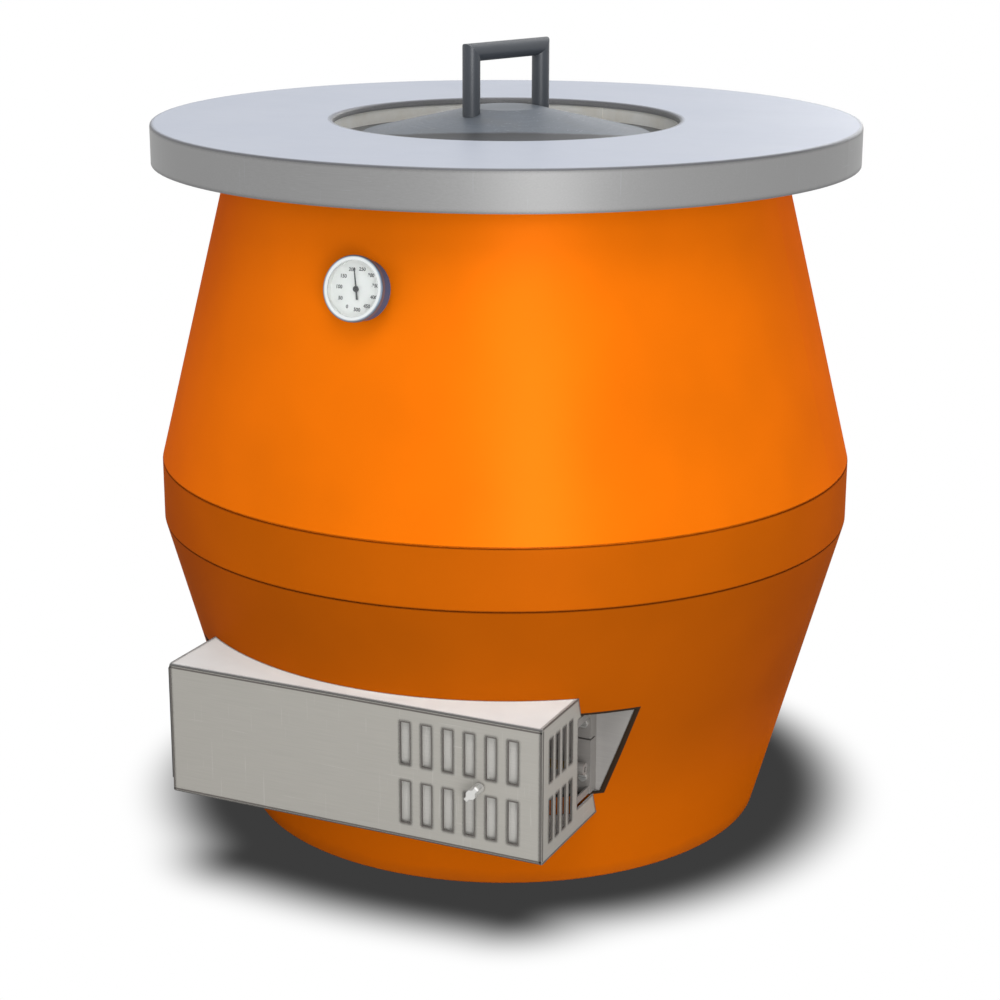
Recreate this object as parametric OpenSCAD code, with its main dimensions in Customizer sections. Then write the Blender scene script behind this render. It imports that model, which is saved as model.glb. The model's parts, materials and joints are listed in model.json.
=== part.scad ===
// Gas fired clay tandoor: a clay pot packed in insulation inside two sheet metal cones, under a
// stainless worktop. The origin is on the floor, under the middle of the pot. The front faces -Y.

/* [Body] */
// Outer radius of the belt and the worktop
body_r = 400; // [385:5:440]
// Outer radius of the body at the floor
foot_r = 305; // [295:5:320]
// Outer radius of the body under the worktop
shoulder_r = 315; // [308:1:325]
// Height of the lower cone
lower_h = 350; // [330:5:400]
// Height of the belt between the cones
belt_h = 67; // [40:1:100]
// Height of the upper cone
upper_h = 341; // [320:1:380]
// Thickness of the body sheet
sheet_t = 2; // [1.5:0.5:3]
// Open seam above and below the belt
seam_gap = 1.2; // [0.8:0.1:2]

/* [Worktop] */
// Height of the worktop's skirt
worktop_h = 44; // [36:1:60]
// Thickness of the worktop's sheet
worktop_t = 2; // [1.5:0.5:3]
// Radius of the mouth
mouth_r = 196; // [192:1:205]
// Rounding of the worktop's edges
edge_r = 3; // [2.5:0.5:5]
// Height of the lip turned down round the mouth
lip_h = 7; // [4:1:12]
// Thickness of the steel ring that carries the worktop
ring_t = 3; // [2:0.5:6]

/* [Clay pot] */
// Inner radius of the pot's neck
neck_r = 150; // [135:1:155]
// Thickness of the packing between the belt and the pot's belly
packing_w = 121; // [115:1:140]
// How much narrower the pot is at the hearth than at its belly
pot_taper = 80; // [75:1:95]
// Thickness of the pot's wall
pot_wall = 34; // [25:1:36]
// Length of the straight neck
neck_h = 40; // [25:1:60]

/* [Lid] */
// Outer radius of the lid
lid_r = 165; // [158:1:175]
// Radius of the flat top of the lid
lid_flat_r = 38; // [30:1:45]
// Rise of the cone from rim to flat top
lid_rise = 30; // [20:1:36]
// Depth of the lid's seat under the worktop
ledge_drop = 23; // [20:1:26]
// Height of the lid's upright rim
lid_rim_h = 5; // [4:1:10]
// Thickness of the lid's sheet
lid_t = 1.5; // [1:0.5:2.5]
// Distance between the middles of the handle's posts
handle_span = 112; // [90:1:130]
// Height of the handle over the lid's flat top, to the bar's axis
handle_h = 64; // [50:1:90]
// Radius of the handle's round bar
handle_r = 10; // [8:0.5:12]
// Direction of the handle, counted from +X
handle_turn = 70.7; // [0:1:180]

/* [Thermometer] */
// Distance from the worktop's skirt down to the dial's axis
gauge_drop = 94; // [70:1:200]
// Radius of the dial's bezel
bezel_r = 34; // [28:1:40]
// Distance from the shell to the front of the bezel
gauge_depth = 32; // [28:1:45]
// Radius of the probe
stem_r = 4; // [3:0.5:6]
// Length of the probe behind the shell
stem_l = 175; // [165:1:185]
// Turn of the needle from straight up
needle_turn = 12; // [-90:1:90]

/* [Burner recess] */
// Distance from the belt's radius back to the recess's flat back
recess_depth = 154; // [148:1:158]
// Height of the recess's floor
recess_z = 117; // [112:1:125]
// Height of the recess
recess_h = 102; // [95:1:110]

/* [Guard] */
// Width of the guard over its end plates
guard_w = 445; // [420:5:460]
// Distance from the recess's back to the guard's front
guard_d = 146; // [142:1:160]
// Height of the guard's underside
guard_z = 90; // [80:1:95]
// Height of the guard
guard_h = 151; // [145:1:165]
// Thickness of the guard's sheet
guard_t = 1.5; // [1:0.5:2.5]
// Slots in each row of the front
slot_count = 6; // [3:1:6]
// Width of a front slot
slot_w = 13; // [8:1:14]
// Height of a slot
slot_h = 49; // [40:1:50]
// Step from one front slot to the next
slot_step = 24.8; // [23:0.2:26]
// Distance from the middle of the last front slot to the guard's end
slot_edge = 32.1; // [28:0.1:36]
// Slots in each row of an end plate
end_slot_count = 4; // [2:1:4]
// Width of a slot in an end plate
end_slot_w = 10.5; // [6:0.5:12]
// Step from one end slot to the next
end_slot_step = 17.2; // [15:0.2:18]

/* [Gas tap] */
// Radius over the tap's wings
knob_r = 11; // [8:0.5:13]
// Distance from the guard's front to the knob's front
knob_proud = 23; // [20:1:30]
// Radius of the tap's spindle
spindle_r = 3; // [2.5:0.5:4]
// Turn of the wings from level, with the tap closed
knob_turn = 50; // [0:5:90]
// Outer radius of the gas pipes
pipe_r = 5; // [4:0.5:6]
// Radius of the inlet's free end
inlet_r = 6.6; // [6:0.1:7]
// Length of the inlet's free end
inlet_l = 14; // [10:1:18]

/* [Burner] */
// Radius of the tunnel for the burner
port_r = 40; // [34:1:42]
// Outer radius of the mixer tube
mixer_r = 16; // [12:1:18]
// Radius of the burner's head
burner_r = 75; // [60:1:90]
// Radius of the plate over the burner
deflector_r = 105; // [95:1:115]

/* [Hidden] */
$fn = 96;

// Overrun of every cut, how far joined shapes reach into each other, and the clearances between pieces
cut = 1;
fuse = 1;
gap = 0.3;
loose = 0.5;
running = 0.04;
arc_steps = 6;

// Heights of the body, from the floor up
belt_z = lower_h;
upper_z = belt_z + belt_h;
skirt_z = upper_z + upper_h;
top_z = skirt_z + worktop_h;
ring_z = skirt_z + worktop_t;
board_z = ring_z + ring_t;
sheet_under_z = top_z - worktop_t;
return_w = 14;

// Tongues that reach into the belt, and the flange of the upper shell
tongue_h = 14;
tongue_root = 6;
tongue_r = body_r - sheet_t - gap;
flange_w = 20;
shoulder_flange_r = shoulder_r - flange_w;

// Floor of the body
base_t = 3;
base_play = 3;
base_r = foot_r - sheet_t - base_play;
foot_flange_w = 18;
foot_flange_r = base_r - foot_flange_w;
board_t = 57;
base_board_r = foot_flange_r - base_play;
belly_r = body_r - packing_w - pot_wall;
pot_foot_r = belly_r - pot_taper;
slab_z = base_t + board_t;
slab_t = 40;
hearth_z = slab_z + slab_t;
slab_lip = 6;
slab_r = pot_foot_r + pot_wall + slab_lip;

// Screws and bolts: shank radius, head radius over its corners, head height
screw_r = 2.5;
screw_head_r = 4.5;
screw_head_h = 2.8;
screw_l = 7;
base_screw_count = 8;
thread_gap = 0.5;
bolt_r = 3;
bolt_head_r = 5.8;
bolt_head_h = 4;
bolt_hole_r = bolt_r + loose;
bolt_pocket_r = bolt_head_r + 2 * loose;
ring_play = 6;
bolt_count = 8;
bolt_pcd_r = shoulder_flange_r + flange_w / 2;
nut_h = 5;
thread_past_nut = 2;

// Mouth, from the pot's rim up
collar_t = 2;
collar_r = mouth_r + worktop_t + gap;
ledge_t = 3;
rim_step = 2;
ledge_hole_r = neck_r + rim_step;
gasket_t = 6;
gasket_w = 25;
ledge_top_z = top_z - ledge_drop;
gasket_z = ledge_top_z - ledge_t - gasket_t;
pot_top_z = gasket_z;
seam_w = 4;
seam_t = 0.8;
seam_turn = 79.5;

// Inner outline of the pot: an even swell from foot to belly and back to the neck
belly_share = 0.5;
pot_steps = 14;
pot_h = pot_top_z - neck_h - hearth_z;
function swell(share) = (1 - cos(180 * share)) / 2;
function pot_r(share) = share < belly_share
    ? pot_foot_r + (belly_r - pot_foot_r) * swell(share / belly_share)
    : belly_r - (belly_r - neck_r) * swell((share - belly_share) / (1 - belly_share));
function pot_side(wall) = [
    for (i = [0 : pot_steps]) let (share = i / pot_steps) [pot_r(share) + wall, hearth_z + pot_h * share]
];

// Slope of the two cones
upper_slope = (body_r - shoulder_r) / upper_h;
lower_slope = (body_r - foot_r) / lower_h;
function upper_r(z) = body_r - (z - upper_z) * upper_slope;
function lower_r(z) = foot_r + z * lower_slope;

// Recess pan and what stands in front of it
recess_y = body_r - recess_depth;
recess_top_z = recess_z + recess_h;
pan_t = 2;
sleeve_t = 2;
sleeve_flange_w = 8;
gas_z = guard_z + guard_h / 2;
recess_screw_x = port_r + 3 * sleeve_flange_w;
burner_z = gas_z;
recess_screw_count = 3;

// Guard
guard_x = guard_w / 2;
guard_y = recess_y + guard_d;
bend_r = 3;
slot_x = guard_x - slot_edge - slot_step * (slot_count - 1);
guard_top_z = guard_z + guard_h;
slot_margin = (guard_h - 2 * slot_h) / 3;
slot_low_z = guard_z + slot_margin;
slot_high_z = slot_low_z + slot_h + slot_margin;
end_slot_edge = 19;
end_slot_y = guard_y - end_slot_edge - end_slot_w / 2;
notch_depth = 95;
notch_drop = 2;
notch_y = guard_y - notch_depth;
notch_low_z = recess_z - notch_drop;
notch_high_z = recess_top_z - notch_drop;
bracket_w = 16.5;
bracket_d = 16;
bracket_web = 3;
bracket_play = 2;
bracket_split_share = 0.64;
bracket_screw_shares = [0.2, 0.8];
bracket_split = 2;
arm_t = 2;
arm_h = 8;
arm_lap = 11;
baffle_t = 1.5;
baffle_gap = 8;
baffle_y = guard_y - baffle_gap;
baffle_flange = 13;
baffle_side = 16;
cover_t = 6;
cover_rise = 13;
cover_z = guard_z + cover_rise;
cover_h = 130;
cover_back = 7;
cover_y = guard_y - cover_back;
cover_w = 74;
cover_screw_shares = [0.15, 0.85];

// Gas tap
tap_x = slot_x + slot_step * 3.5;
tap_w = 26;
tap_h = 36;
tap_low = 3;
valve_wall = 3;
neck_proud = 1;
pipe_seat = 5;
tap_d = 34;
tap_front_y = baffle_y - baffle_t;
neck_pipe_r = 8;
tap_nut_r = 11;
tap_nut_h = 3;
spindle_hole_r = spindle_r + loose;
spindle_bore = 20;
knob_gap = 2;
knob_hub_r = 5.5;
knob_l = knob_proud - knob_gap;
knob_cap = 4;
wing_root = 1;
wing_t = 5;
wing_l = 13;
wing_round_r = 3;

// Gas line
inlet_back = 34;
inlet_y = recess_y + inlet_back;
inlet_drop = 11;
inlet_z = gas_z - inlet_drop;
inlet_bend_r = 15;
inlet_nut_r = 12.1;
inlet_nut_l = 6;
inlet_in = 18.5;
inlet_x = guard_x - inlet_in;
line_back = 10;
line_y = tap_front_y - line_back;
holder_r = 10;
holder_l = 30;
jet_r = 4;
jet_l = 12;
jet_hole_r = 1;

// Burner
bell_r = 26;
bell_l = 20;
mixer_wall = 3;
jet_reach = 2;
mixer_front_y = line_y - holder_l / 2 - jet_l + jet_reach;
port_plate_t = 4;
port_plate_y = recess_y - 2 * pan_t;
air_hole_r = 4;
air_hole_count = 6;
boss_wall = 6;
head_lip = 1;
head_boss_r = mixer_r + boss_wall;
head_h = 2 * (head_boss_r + head_lip);
head_z = burner_z - head_h / 2;
head_boss_l = 22;
leg_r = 6;
leg_count = 3;
leg_turn = 90;
cap_t = 6;
flame_inset = 14;
flame_hole_r = 2;
flame_hole_count = 16;
deflector_t = 3;
deflector_rise = 16;
deflector_gap = 40;
deflector_z = head_z + head_h + cap_t + deflector_gap;
probe_x = 27;
probe_r = 3;

// Lid, from its seat up
lid_z = ledge_top_z + gap;
lid_cone_z = lid_z + lid_rim_h;
lid_top_z = lid_cone_z + lid_rise;
lid_pan_t = 1.2;
lid_pan_r = lid_r - lid_t - gap;
lid_flange_h = 3;
handle_foot_r = handle_span / 2;
bar_z = lid_top_z + handle_h;
post_screw_r = 3;
lid_slope = lid_rise / (lid_r - lid_flat_r);
post_z = lid_top_z - (handle_foot_r - lid_flat_r + handle_r) * lid_slope;
lid_nut_h = 4;
lid_nut_r = 6;

// Thermometer, built along the shell's normal
gauge_z = skirt_z - gauge_drop;
gauge_tilt = atan(upper_slope);
gauge_r = upper_r(gauge_z);
bezel_w = 2.5;
bezel_front = 3;
bezel_edge = 1.5;
case_r = bezel_r - bezel_w;
case_t = 1.2;
case_z = 9;
case_l = gauge_depth - case_z - bezel_front;
dial_r = case_r - case_t - gap;
dial_t = 1;
dial_deep = 9;
dial_z = case_z + case_l - dial_deep;
dial_seat = 3;
lens_t = 2;
lens_z = case_z + case_l;
needle_gap = 2;
needle_z = dial_z + dial_t + needle_gap;
needle_t = 0.8;
needle_l = 22;
needle_tail = 11;
needle_w = 1.8;
hub_r = 3;
shaft_r = 1;
shaft_l = 24;
collar_nut_r = 11;
collar_nut_h = 5.5;
nut_play = 2;
socket_l = sheet_t + loose + collar_nut_h + thread_past_nut / 2;
socket_r = 7;
socket_hole_r = socket_r + loose;
well_hole_r = stem_r + loose;
stem_wall = 1.5;

module ring(r_in, r_out, h) {
    difference() {
        cylinder(h = h, r = r_out);
        translate([0, 0, -cut]) cylinder(h = h + 2 * cut, r = r_in);
    }
}

module along_y(x, y, z) {
    translate([x, -y, z]) rotate([-90, 0, 0]) children();
}

// Points along an arc of an outline
function arc(x, y, r, from, to) = [
    for (i = [0 : arc_steps]) let (a = from + (to - from) * i / arc_steps) [x + r * cos(a), y + r * sin(a)]
];

module around(count, r, turn = 0) {
    for (i = [0 : count - 1]) rotate([0, 0, turn + 360 * i / count]) translate([r, 0, 0]) children();
}

module upper_cone(inset, low = 0, high = 0) {
    z0 = upper_z - low;
    z1 = skirt_z + high;
    translate([0, 0, z0]) cylinder(h = z1 - z0, r1 = upper_r(z0) - inset, r2 = upper_r(z1) - inset);
}

module lower_cone(inset, high = 0) {
    cylinder(h = lower_h - high, r1 = foot_r - inset, r2 = lower_r(lower_h - high) - inset);
}

// Space in front of the recess's flat back, grown by a margin all round
module recess_space(margin) {
    translate([-body_r, -2 * body_r - recess_y + margin, recess_z - margin])
        cube([2 * body_r, 2 * body_r, recess_h + 2 * margin]);
}

module at_gauge() {
    translate([0, -gauge_r, gauge_z]) rotate([90 - gauge_tilt, 0, 0]) children();
}

// Body

module base_plate() {
    color("dimgray") difference() {
        cylinder(h = base_t, r = base_r);
        around(base_screw_count, base_r - foot_flange_w / 2)
            translate([0, 0, -cut]) cylinder(h = base_t + 2 * cut, r = screw_r + loose);
    }
}

module base_screws() {
    color("silver") around(base_screw_count, base_r - foot_flange_w / 2) {
        translate([0, 0, base_t + sheet_t]) cylinder(h = screw_head_h, r = screw_head_r, $fn = 6);
        translate([0, 0, thread_gap]) cylinder(h = base_t + sheet_t + fuse - thread_gap, r = screw_r);
    }
}

module lower_shell() {
    seam_z = belt_z - seam_gap;
    color("darkorange") difference() {
        union() {
            difference() {
                lower_cone(0, seam_gap);
                translate([0, 0, -cut]) lower_cone(sheet_t + cut * lower_slope, -2 * cut);
            }
            translate([0, 0, seam_z - tongue_root])
                ring(tongue_r - sheet_t, tongue_r, tongue_root + seam_gap + tongue_h);
            translate([0, 0, base_t]) ring(foot_flange_r, lower_r(base_t) - sheet_t / 2, sheet_t);
        }
        recess_space(0);
        around(base_screw_count, base_r - foot_flange_w / 2)
            translate([0, 0, base_t - cut]) cylinder(h = sheet_t + 2 * cut, r = screw_r + loose);
    }
}

module belt_band() {
    color("darkorange") translate([0, 0, belt_z]) ring(body_r - sheet_t, body_r, belt_h);
}

module upper_shell() {
    seam_z = upper_z + seam_gap;
    color("darkorange") difference() {
        union() {
            difference() {
                upper_cone(0, -seam_gap, worktop_t);
                upper_cone(sheet_t, cut, worktop_t + cut);
            }
            translate([0, 0, upper_z - tongue_h])
                ring(tongue_r - sheet_t, tongue_r, tongue_h + seam_gap + tongue_root);
            translate([0, 0, skirt_z]) ring(shoulder_flange_r, upper_r(ring_z) - sheet_t / 2, worktop_t);
        }
        around(bolt_count, bolt_pcd_r)
            translate([0, 0, skirt_z - cut]) cylinder(h = worktop_t + 2 * cut, r = bolt_hole_r);
        at_gauge() translate([0, 0, -sheet_t - 2 * cut]) cylinder(h = sheet_t + 4 * cut, r = socket_hole_r);
    }
}

// Worktop

module worktop() {
    disc_r = mouth_r + edge_r + running;
    color("gainsboro") rotate_extrude() polygon(concat(
        [[disc_r, sheet_under_z], [disc_r, top_z]],
        arc(body_r - edge_r, top_z - edge_r, edge_r, 90, 0),
        [[body_r, skirt_z], [body_r - return_w, skirt_z], [body_r - return_w, ring_z]],
        [[body_r - worktop_t, ring_z], [body_r - worktop_t, sheet_under_z]]
    ));
}

// The turned down lip, welded into the worktop's hole
module mouth_lip() {
    color("gainsboro") rotate_extrude() polygon(concat(
        [[mouth_r, top_z - lip_h]],
        arc(mouth_r + edge_r, top_z - edge_r, edge_r, 180, 90),
        [[mouth_r + edge_r, sheet_under_z], [mouth_r + worktop_t, sheet_under_z]],
        [[mouth_r + worktop_t, top_z - lip_h]]
    ));
}

module worktop_ring() {
    color("gray") difference() {
        translate([0, 0, ring_z]) ring(neck_r + pot_wall + ring_play, body_r - worktop_t - loose, ring_t);
        around(bolt_count, bolt_pcd_r)
            translate([0, 0, ring_z - cut]) cylinder(h = ring_t + 2 * cut, r = bolt_hole_r);
    }
}

module worktop_board() {
    color("tan") difference() {
        translate([0, 0, board_z])
            ring(collar_r + collar_t + loose, body_r - worktop_t - loose, sheet_under_z - board_z);
        around(bolt_count, bolt_pcd_r)
            translate([0, 0, board_z - cut]) cylinder(h = 2 * bolt_head_h + cut, r = bolt_pocket_r);
    }
}

module worktop_bolts() {
    color("silver") around(bolt_count, bolt_pcd_r) {
        translate([0, 0, board_z]) cylinder(h = bolt_head_h, r = bolt_head_r, $fn = 6);
        translate([0, 0, skirt_z - nut_h - thread_past_nut])
            cylinder(h = nut_h + thread_past_nut + worktop_t + ring_t + fuse, r = bolt_r);
    }
}

module worktop_nuts() {
    color("silver") around(bolt_count, bolt_pcd_r) difference() {
        translate([0, 0, skirt_z - nut_h]) cylinder(h = nut_h, r = bolt_head_r, $fn = 6);
        translate([0, 0, skirt_z - nut_h - cut]) cylinder(h = nut_h + 2 * cut, r = bolt_r + running);
    }
}

// Mouth

module mouth_collar() {
    color("silver") union() {
        translate([0, 0, board_z]) ring(collar_r, collar_r + collar_t, sheet_under_z - board_z);
        rotate([0, 0, seam_turn]) translate([collar_r - seam_t, -seam_w / 2, ledge_top_z + gap])
            cube([seam_t + collar_t / 2, seam_w, top_z - lip_h - ledge_top_z - 2 * gap]);
    }
}

module lid_ledge() {
    color("dimgray") translate([0, 0, ledge_top_z - ledge_t]) ring(ledge_hole_r, collar_r - gap, ledge_t);
}

module rim_gasket() {
    color("white") translate([0, 0, gasket_z])
        ring(ledge_hole_r + rim_step, ledge_hole_r + gasket_w, gasket_t);
}

// Pot and packing

module clay_pot() {
    inner = pot_side(0);
    outer = pot_side(pot_wall);
    rim_in = [neck_r, pot_top_z];
    rim_out = [neck_r + pot_wall, pot_top_z];
    color("peru") difference() {
        rotate_extrude() polygon(concat(
            inner,
            [rim_in, rim_out],
            [for (i = [pot_steps : -1 : 0]) outer[i]]
        ));
        along_y(0, recess_y, burner_z) cylinder(h = recess_y, r = port_r + loose);
        at_gauge() translate([0, 0, -stem_l - neck_h]) cylinder(h = stem_l, r = well_hole_r);
    }
}

module base_board() {
    color("tan") translate([0, 0, base_t]) cylinder(h = board_t, r = base_board_r);
}

module hearth_slab() {
    color("wheat") translate([0, 0, slab_z]) cylinder(h = slab_t, r = slab_r);
}

// Everything that the pot and its hearth take up, grown by the clearance
module pot_space() {
    outer = pot_side(pot_wall + loose);
    translate([0, 0, slab_z - cut]) cylinder(h = slab_t + cut, r = slab_r + loose);
    rotate_extrude() polygon(concat(
        [[0, hearth_z - cut], [outer[0][0], hearth_z - cut]],
        outer,
        [[neck_r + pot_wall + loose, top_z], [0, top_z]]
    ));
}

module lower_insulation() {
    color("lemonchiffon") difference() {
        intersection() {
            lower_cone(sheet_t + loose);
            translate([0, 0, slab_z]) cylinder(h = belt_z - slab_z, r = tongue_r - sheet_t - loose);
        }
        pot_space();
        recess_space(pan_t + loose);
        along_y(0, recess_y + cut, burner_z) cylinder(h = recess_y, r = port_r + loose);
        for (side = [-1, 1], i = [0 : recess_screw_count - 1]) recess_screw_place(side, i)
            cylinder(h = screw_l + loose, r = screw_r + loose);
    }
}

module upper_insulation() {
    packing_top_z = skirt_z - nut_h - 2 * thread_past_nut;
    color("lemonchiffon") difference() {
        intersection() {
            translate([0, 0, belt_z]) cylinder(h = packing_top_z - belt_z, r = tongue_r - sheet_t - loose);
            union() {
                translate([0, 0, belt_z]) cylinder(h = belt_h + cut, r = body_r);
                upper_cone(sheet_t + loose);
            }
        }
        pot_space();
        at_gauge() {
            translate([0, 0, -stem_l]) cylinder(h = stem_l, r = well_hole_r);
            translate([0, 0, -socket_l - nut_play])
                cylinder(h = socket_l + nut_play + cut, r = collar_nut_r + nut_play);
        }
    }
}

// Recess and burner port

module burner_recess() {
    color("gray") difference() {
        intersection() {
            lower_cone(sheet_t + gap);
            recess_space(pan_t);
        }
        recess_space(0);
        along_y(0, recess_y + cut, burner_z) cylinder(h = pan_t + 2 * cut, r = port_r + gap);
        for (side = [-1, 1], i = [0 : recess_screw_count - 1]) recess_screw_place(side, i)
            translate([0, 0, -cut]) cylinder(h = pan_t + 2 * cut, r = screw_r + loose);
    }
}

module recess_screw_place(side, i) {
    row = (i + 1) / (recess_screw_count + 1);
    along_y(side * recess_screw_x, recess_y, recess_z + recess_h * row) children();
}

module recess_screws() {
    color("silver") for (side = [-1, 1], i = [0 : recess_screw_count - 1]) recess_screw_place(side, i) {
        translate([0, 0, -screw_head_h]) cylinder(h = screw_head_h, r = screw_head_r);
        cylinder(h = screw_l, r = screw_r);
    }
}

module port_sleeve() {
    inner_y = pot_r((burner_z - hearth_z) / pot_h);
    color("silver") difference() {
        union() {
            along_y(0, recess_y + pan_t, burner_z) cylinder(h = recess_y + pan_t - inner_y, r = port_r);
            along_y(0, recess_y + pan_t, burner_z) cylinder(h = pan_t, r = port_r + sleeve_flange_w);
        }
        along_y(0, recess_y + pan_t + cut, burner_z) cylinder(h = recess_y, r = port_r - sleeve_t);
    }
}

module port_plate() {
    color("dimgray") difference() {
        along_y(0, port_plate_y, burner_z) cylinder(h = port_plate_t, r = port_r - sleeve_t - gap);
        along_y(0, port_plate_y + cut, burner_z) cylinder(h = port_plate_t + 2 * cut, r = mixer_r + gap);
        along_y(probe_x, port_plate_y + cut, burner_z)
            cylinder(h = port_plate_t + 2 * cut, r = probe_r + gap);
        for (i = [1 : air_hole_count - 1]) along_y(0, port_plate_y + cut, burner_z)
            rotate([0, 0, 360 * i / air_hole_count]) translate([probe_x, 0, 0])
                cylinder(h = port_plate_t + 2 * cut, r = air_hole_r);
    }
}

// Guard

// Everything behind the face of the lower cone, grown by the clearance
module behind_face() {
    lower_cone(-gap);
}

module front_slots() {
    for (i = [0 : slot_count - 1], z = [slot_low_z, slot_high_z])
        translate([slot_x + slot_step * i - slot_w / 2, -guard_y - cut, z])
            cube([slot_w, guard_t + 2 * cut, slot_h]);
}

// Front of the guard, seen from the side, with both bends
function guard_front(r) = concat(
    arc(bend_r - guard_y, guard_top_z - bend_r, r, 90, 180),
    arc(bend_r - guard_y, guard_z + bend_r, r, 180, 270)
);

module along_x(x, length) {
    translate([x, 0, 0]) rotate([90, 0, 90]) linear_extrude(length) children();
}

module guard_wrap() {
    bent_in = guard_front(bend_r - guard_t);
    color("silver") difference() {
        along_x(guard_t - guard_x, guard_w - 2 * guard_t) polygon(concat(
            [[0, guard_top_z]], guard_front(bend_r), [[0, guard_z], [0, guard_z + guard_t]],
            [for (i = [len(bent_in) - 1 : -1 : 0]) bent_in[i]], [[0, guard_top_z - guard_t]]
        ));
        behind_face();
        front_slots();
        along_y(tap_x, guard_y + cut, gas_z) cylinder(h = guard_t + 2 * cut, r = spindle_hole_r);
    }
}

module guard_end(side) {
    color("silver") difference() {
        along_x(side > 0 ? guard_x - guard_t : -guard_x, guard_t)
            polygon(concat([[0, guard_top_z]], guard_front(bend_r), [[0, guard_z]]));
        behind_face();
        translate([side * guard_x - 2 * cut, -notch_y, notch_low_z])
            cube([4 * cut, notch_y, notch_high_z - notch_low_z]);
        for (i = [0 : end_slot_count - 1], z = [slot_low_z, slot_high_z])
            translate([side * guard_x - 2 * cut, -end_slot_y + end_slot_step * i - end_slot_w / 2, z])
                cube([4 * cut, end_slot_w, slot_h]);
    }
}

module guard_end_right() {
    guard_end(1);
}

module guard_end_left() {
    difference() {
        guard_end(-1);
        cover_screw_places() cylinder(h = cover_t + 2 * guard_t, r = screw_r + loose);
    }
}

// A split block on the recess's back, with two arms that lie against the end plate
module guard_bracket(side) {
    low_z = recess_z + bracket_play;
    high_z = notch_high_z - bracket_play;
    split_z = low_z + (high_z - low_z) * bracket_split_share;
    inner_x = guard_x - bracket_w;
    arm_x = guard_x - guard_t - arm_t;
    color("dimgray") mirror([side > 0 ? 0 : 1, 0, 0]) difference() {
        union() {
            translate([inner_x, -recess_y - bracket_d, low_z]) cube([bracket_w, bracket_d, high_z - low_z]);
            for (z = [low_z, high_z - arm_h])
                translate([arm_x, -notch_y - arm_lap, z])
                    cube([arm_t, notch_y + arm_lap - recess_y - bracket_web, arm_h]);
        }
        translate([inner_x - cut, -recess_y - bracket_d - cut, split_z])
            cube([bracket_w + 2 * cut, bracket_d - bracket_web + cut, bracket_split]);
        for (share = bracket_screw_shares)
            along_y(inner_x + bracket_w / 2, recess_y + bracket_d + cut, recess_z + recess_h * share)
                cylinder(h = bracket_d + 2 * cut, r = screw_r + loose);
    }
}

module guard_bracket_right() {
    guard_bracket(1);
}

module guard_bracket_left() {
    guard_bracket(-1);
}

module bracket_screws() {
    front_y = recess_y + bracket_d + screw_head_h;
    color("gray") for (side = [-1, 1], share = bracket_screw_shares)
        along_y(side * (guard_x - bracket_w / 2), front_y, recess_z + recess_h * share) {
            cylinder(h = screw_head_h, r = screw_head_r);
            cylinder(h = screw_head_h + bracket_d - thread_gap, r = screw_r);
        }
}

module baffle() {
    x0 = slot_x - slot_w / 2 - baffle_side;
    x1 = slot_x + slot_step * (slot_count - 1) + slot_w / 2 + baffle_side;
    z0 = guard_z + guard_t;
    z1 = guard_top_z - guard_t;
    color("lightgray") difference() {
        union() {
            translate([x0, -baffle_y, z0]) cube([x1 - x0, baffle_t, z1 - z0]);
            for (z = [z0, z1 - baffle_t])
                translate([x0, -baffle_y, z]) cube([x1 - x0, baffle_flange, baffle_t]);
        }
        behind_face();
        along_y(tap_x, baffle_y + cut, gas_z) cylinder(h = baffle_t + 2 * cut, r = neck_pipe_r + gap);
    }
}

// Screws through the end cover, pointing towards +X
module cover_screw_places() {
    for (share = cover_screw_shares)
        translate([-guard_x - cover_t, -cover_y + cover_w * share, gas_z]) rotate([0, 90, 0]) children();
}

module end_cover() {
    color([0.1, 0.1, 0.1]) difference() {
        translate([-guard_x - cover_t, -cover_y, cover_z]) cube([cover_t, cover_w, cover_h]);
        cover_screw_places() translate([0, 0, -cut]) cylinder(h = cover_t + 2 * cut, r = screw_r + loose);
    }
}

module cover_screws() {
    color("gray") cover_screw_places() {
        translate([0, 0, -screw_head_h]) cylinder(h = screw_head_h, r = screw_head_r);
        cylinder(h = cover_t + guard_t + thread_past_nut, r = screw_r);
    }
}

// Gas tap

module tap_body() {
    color("goldenrod") difference() {
        union() {
            translate([tap_x - tap_w / 2, -tap_front_y, gas_z - tap_h / 2 - tap_low])
                cube([tap_w, tap_d, tap_h]);
            along_y(tap_x, baffle_y + tap_nut_h + neck_proud, gas_z)
                cylinder(h = tap_nut_h + baffle_t + neck_proud + fuse, r = neck_pipe_r);
        }
        along_y(tap_x, guard_y, gas_z)
            cylinder(h = guard_y - tap_front_y + spindle_bore, r = spindle_r + running);
        translate([tap_x, -line_y, gas_z]) rotate([0, -90, 0]) cylinder(h = tap_w, r = pipe_r + running);
        along_y(tap_x, tap_front_y - spindle_bore - valve_wall, inlet_z)
            cylinder(h = tap_d, r = pipe_r + running);
    }
}

module tap_nut() {
    color("silver") difference() {
        along_y(tap_x, baffle_y + tap_nut_h, gas_z) cylinder(h = tap_nut_h, r = tap_nut_r, $fn = 6);
        along_y(tap_x, baffle_y + tap_nut_h + cut, gas_z)
            cylinder(h = tap_nut_h + 2 * cut, r = neck_pipe_r + running);
    }
}

module tap_spindle() {
    tip_y = guard_y + knob_proud - knob_cap;
    color("silver") along_y(tap_x, tip_y, gas_z)
        cylinder(h = tip_y - tap_front_y + spindle_bore - loose, r = spindle_r);
}

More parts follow.
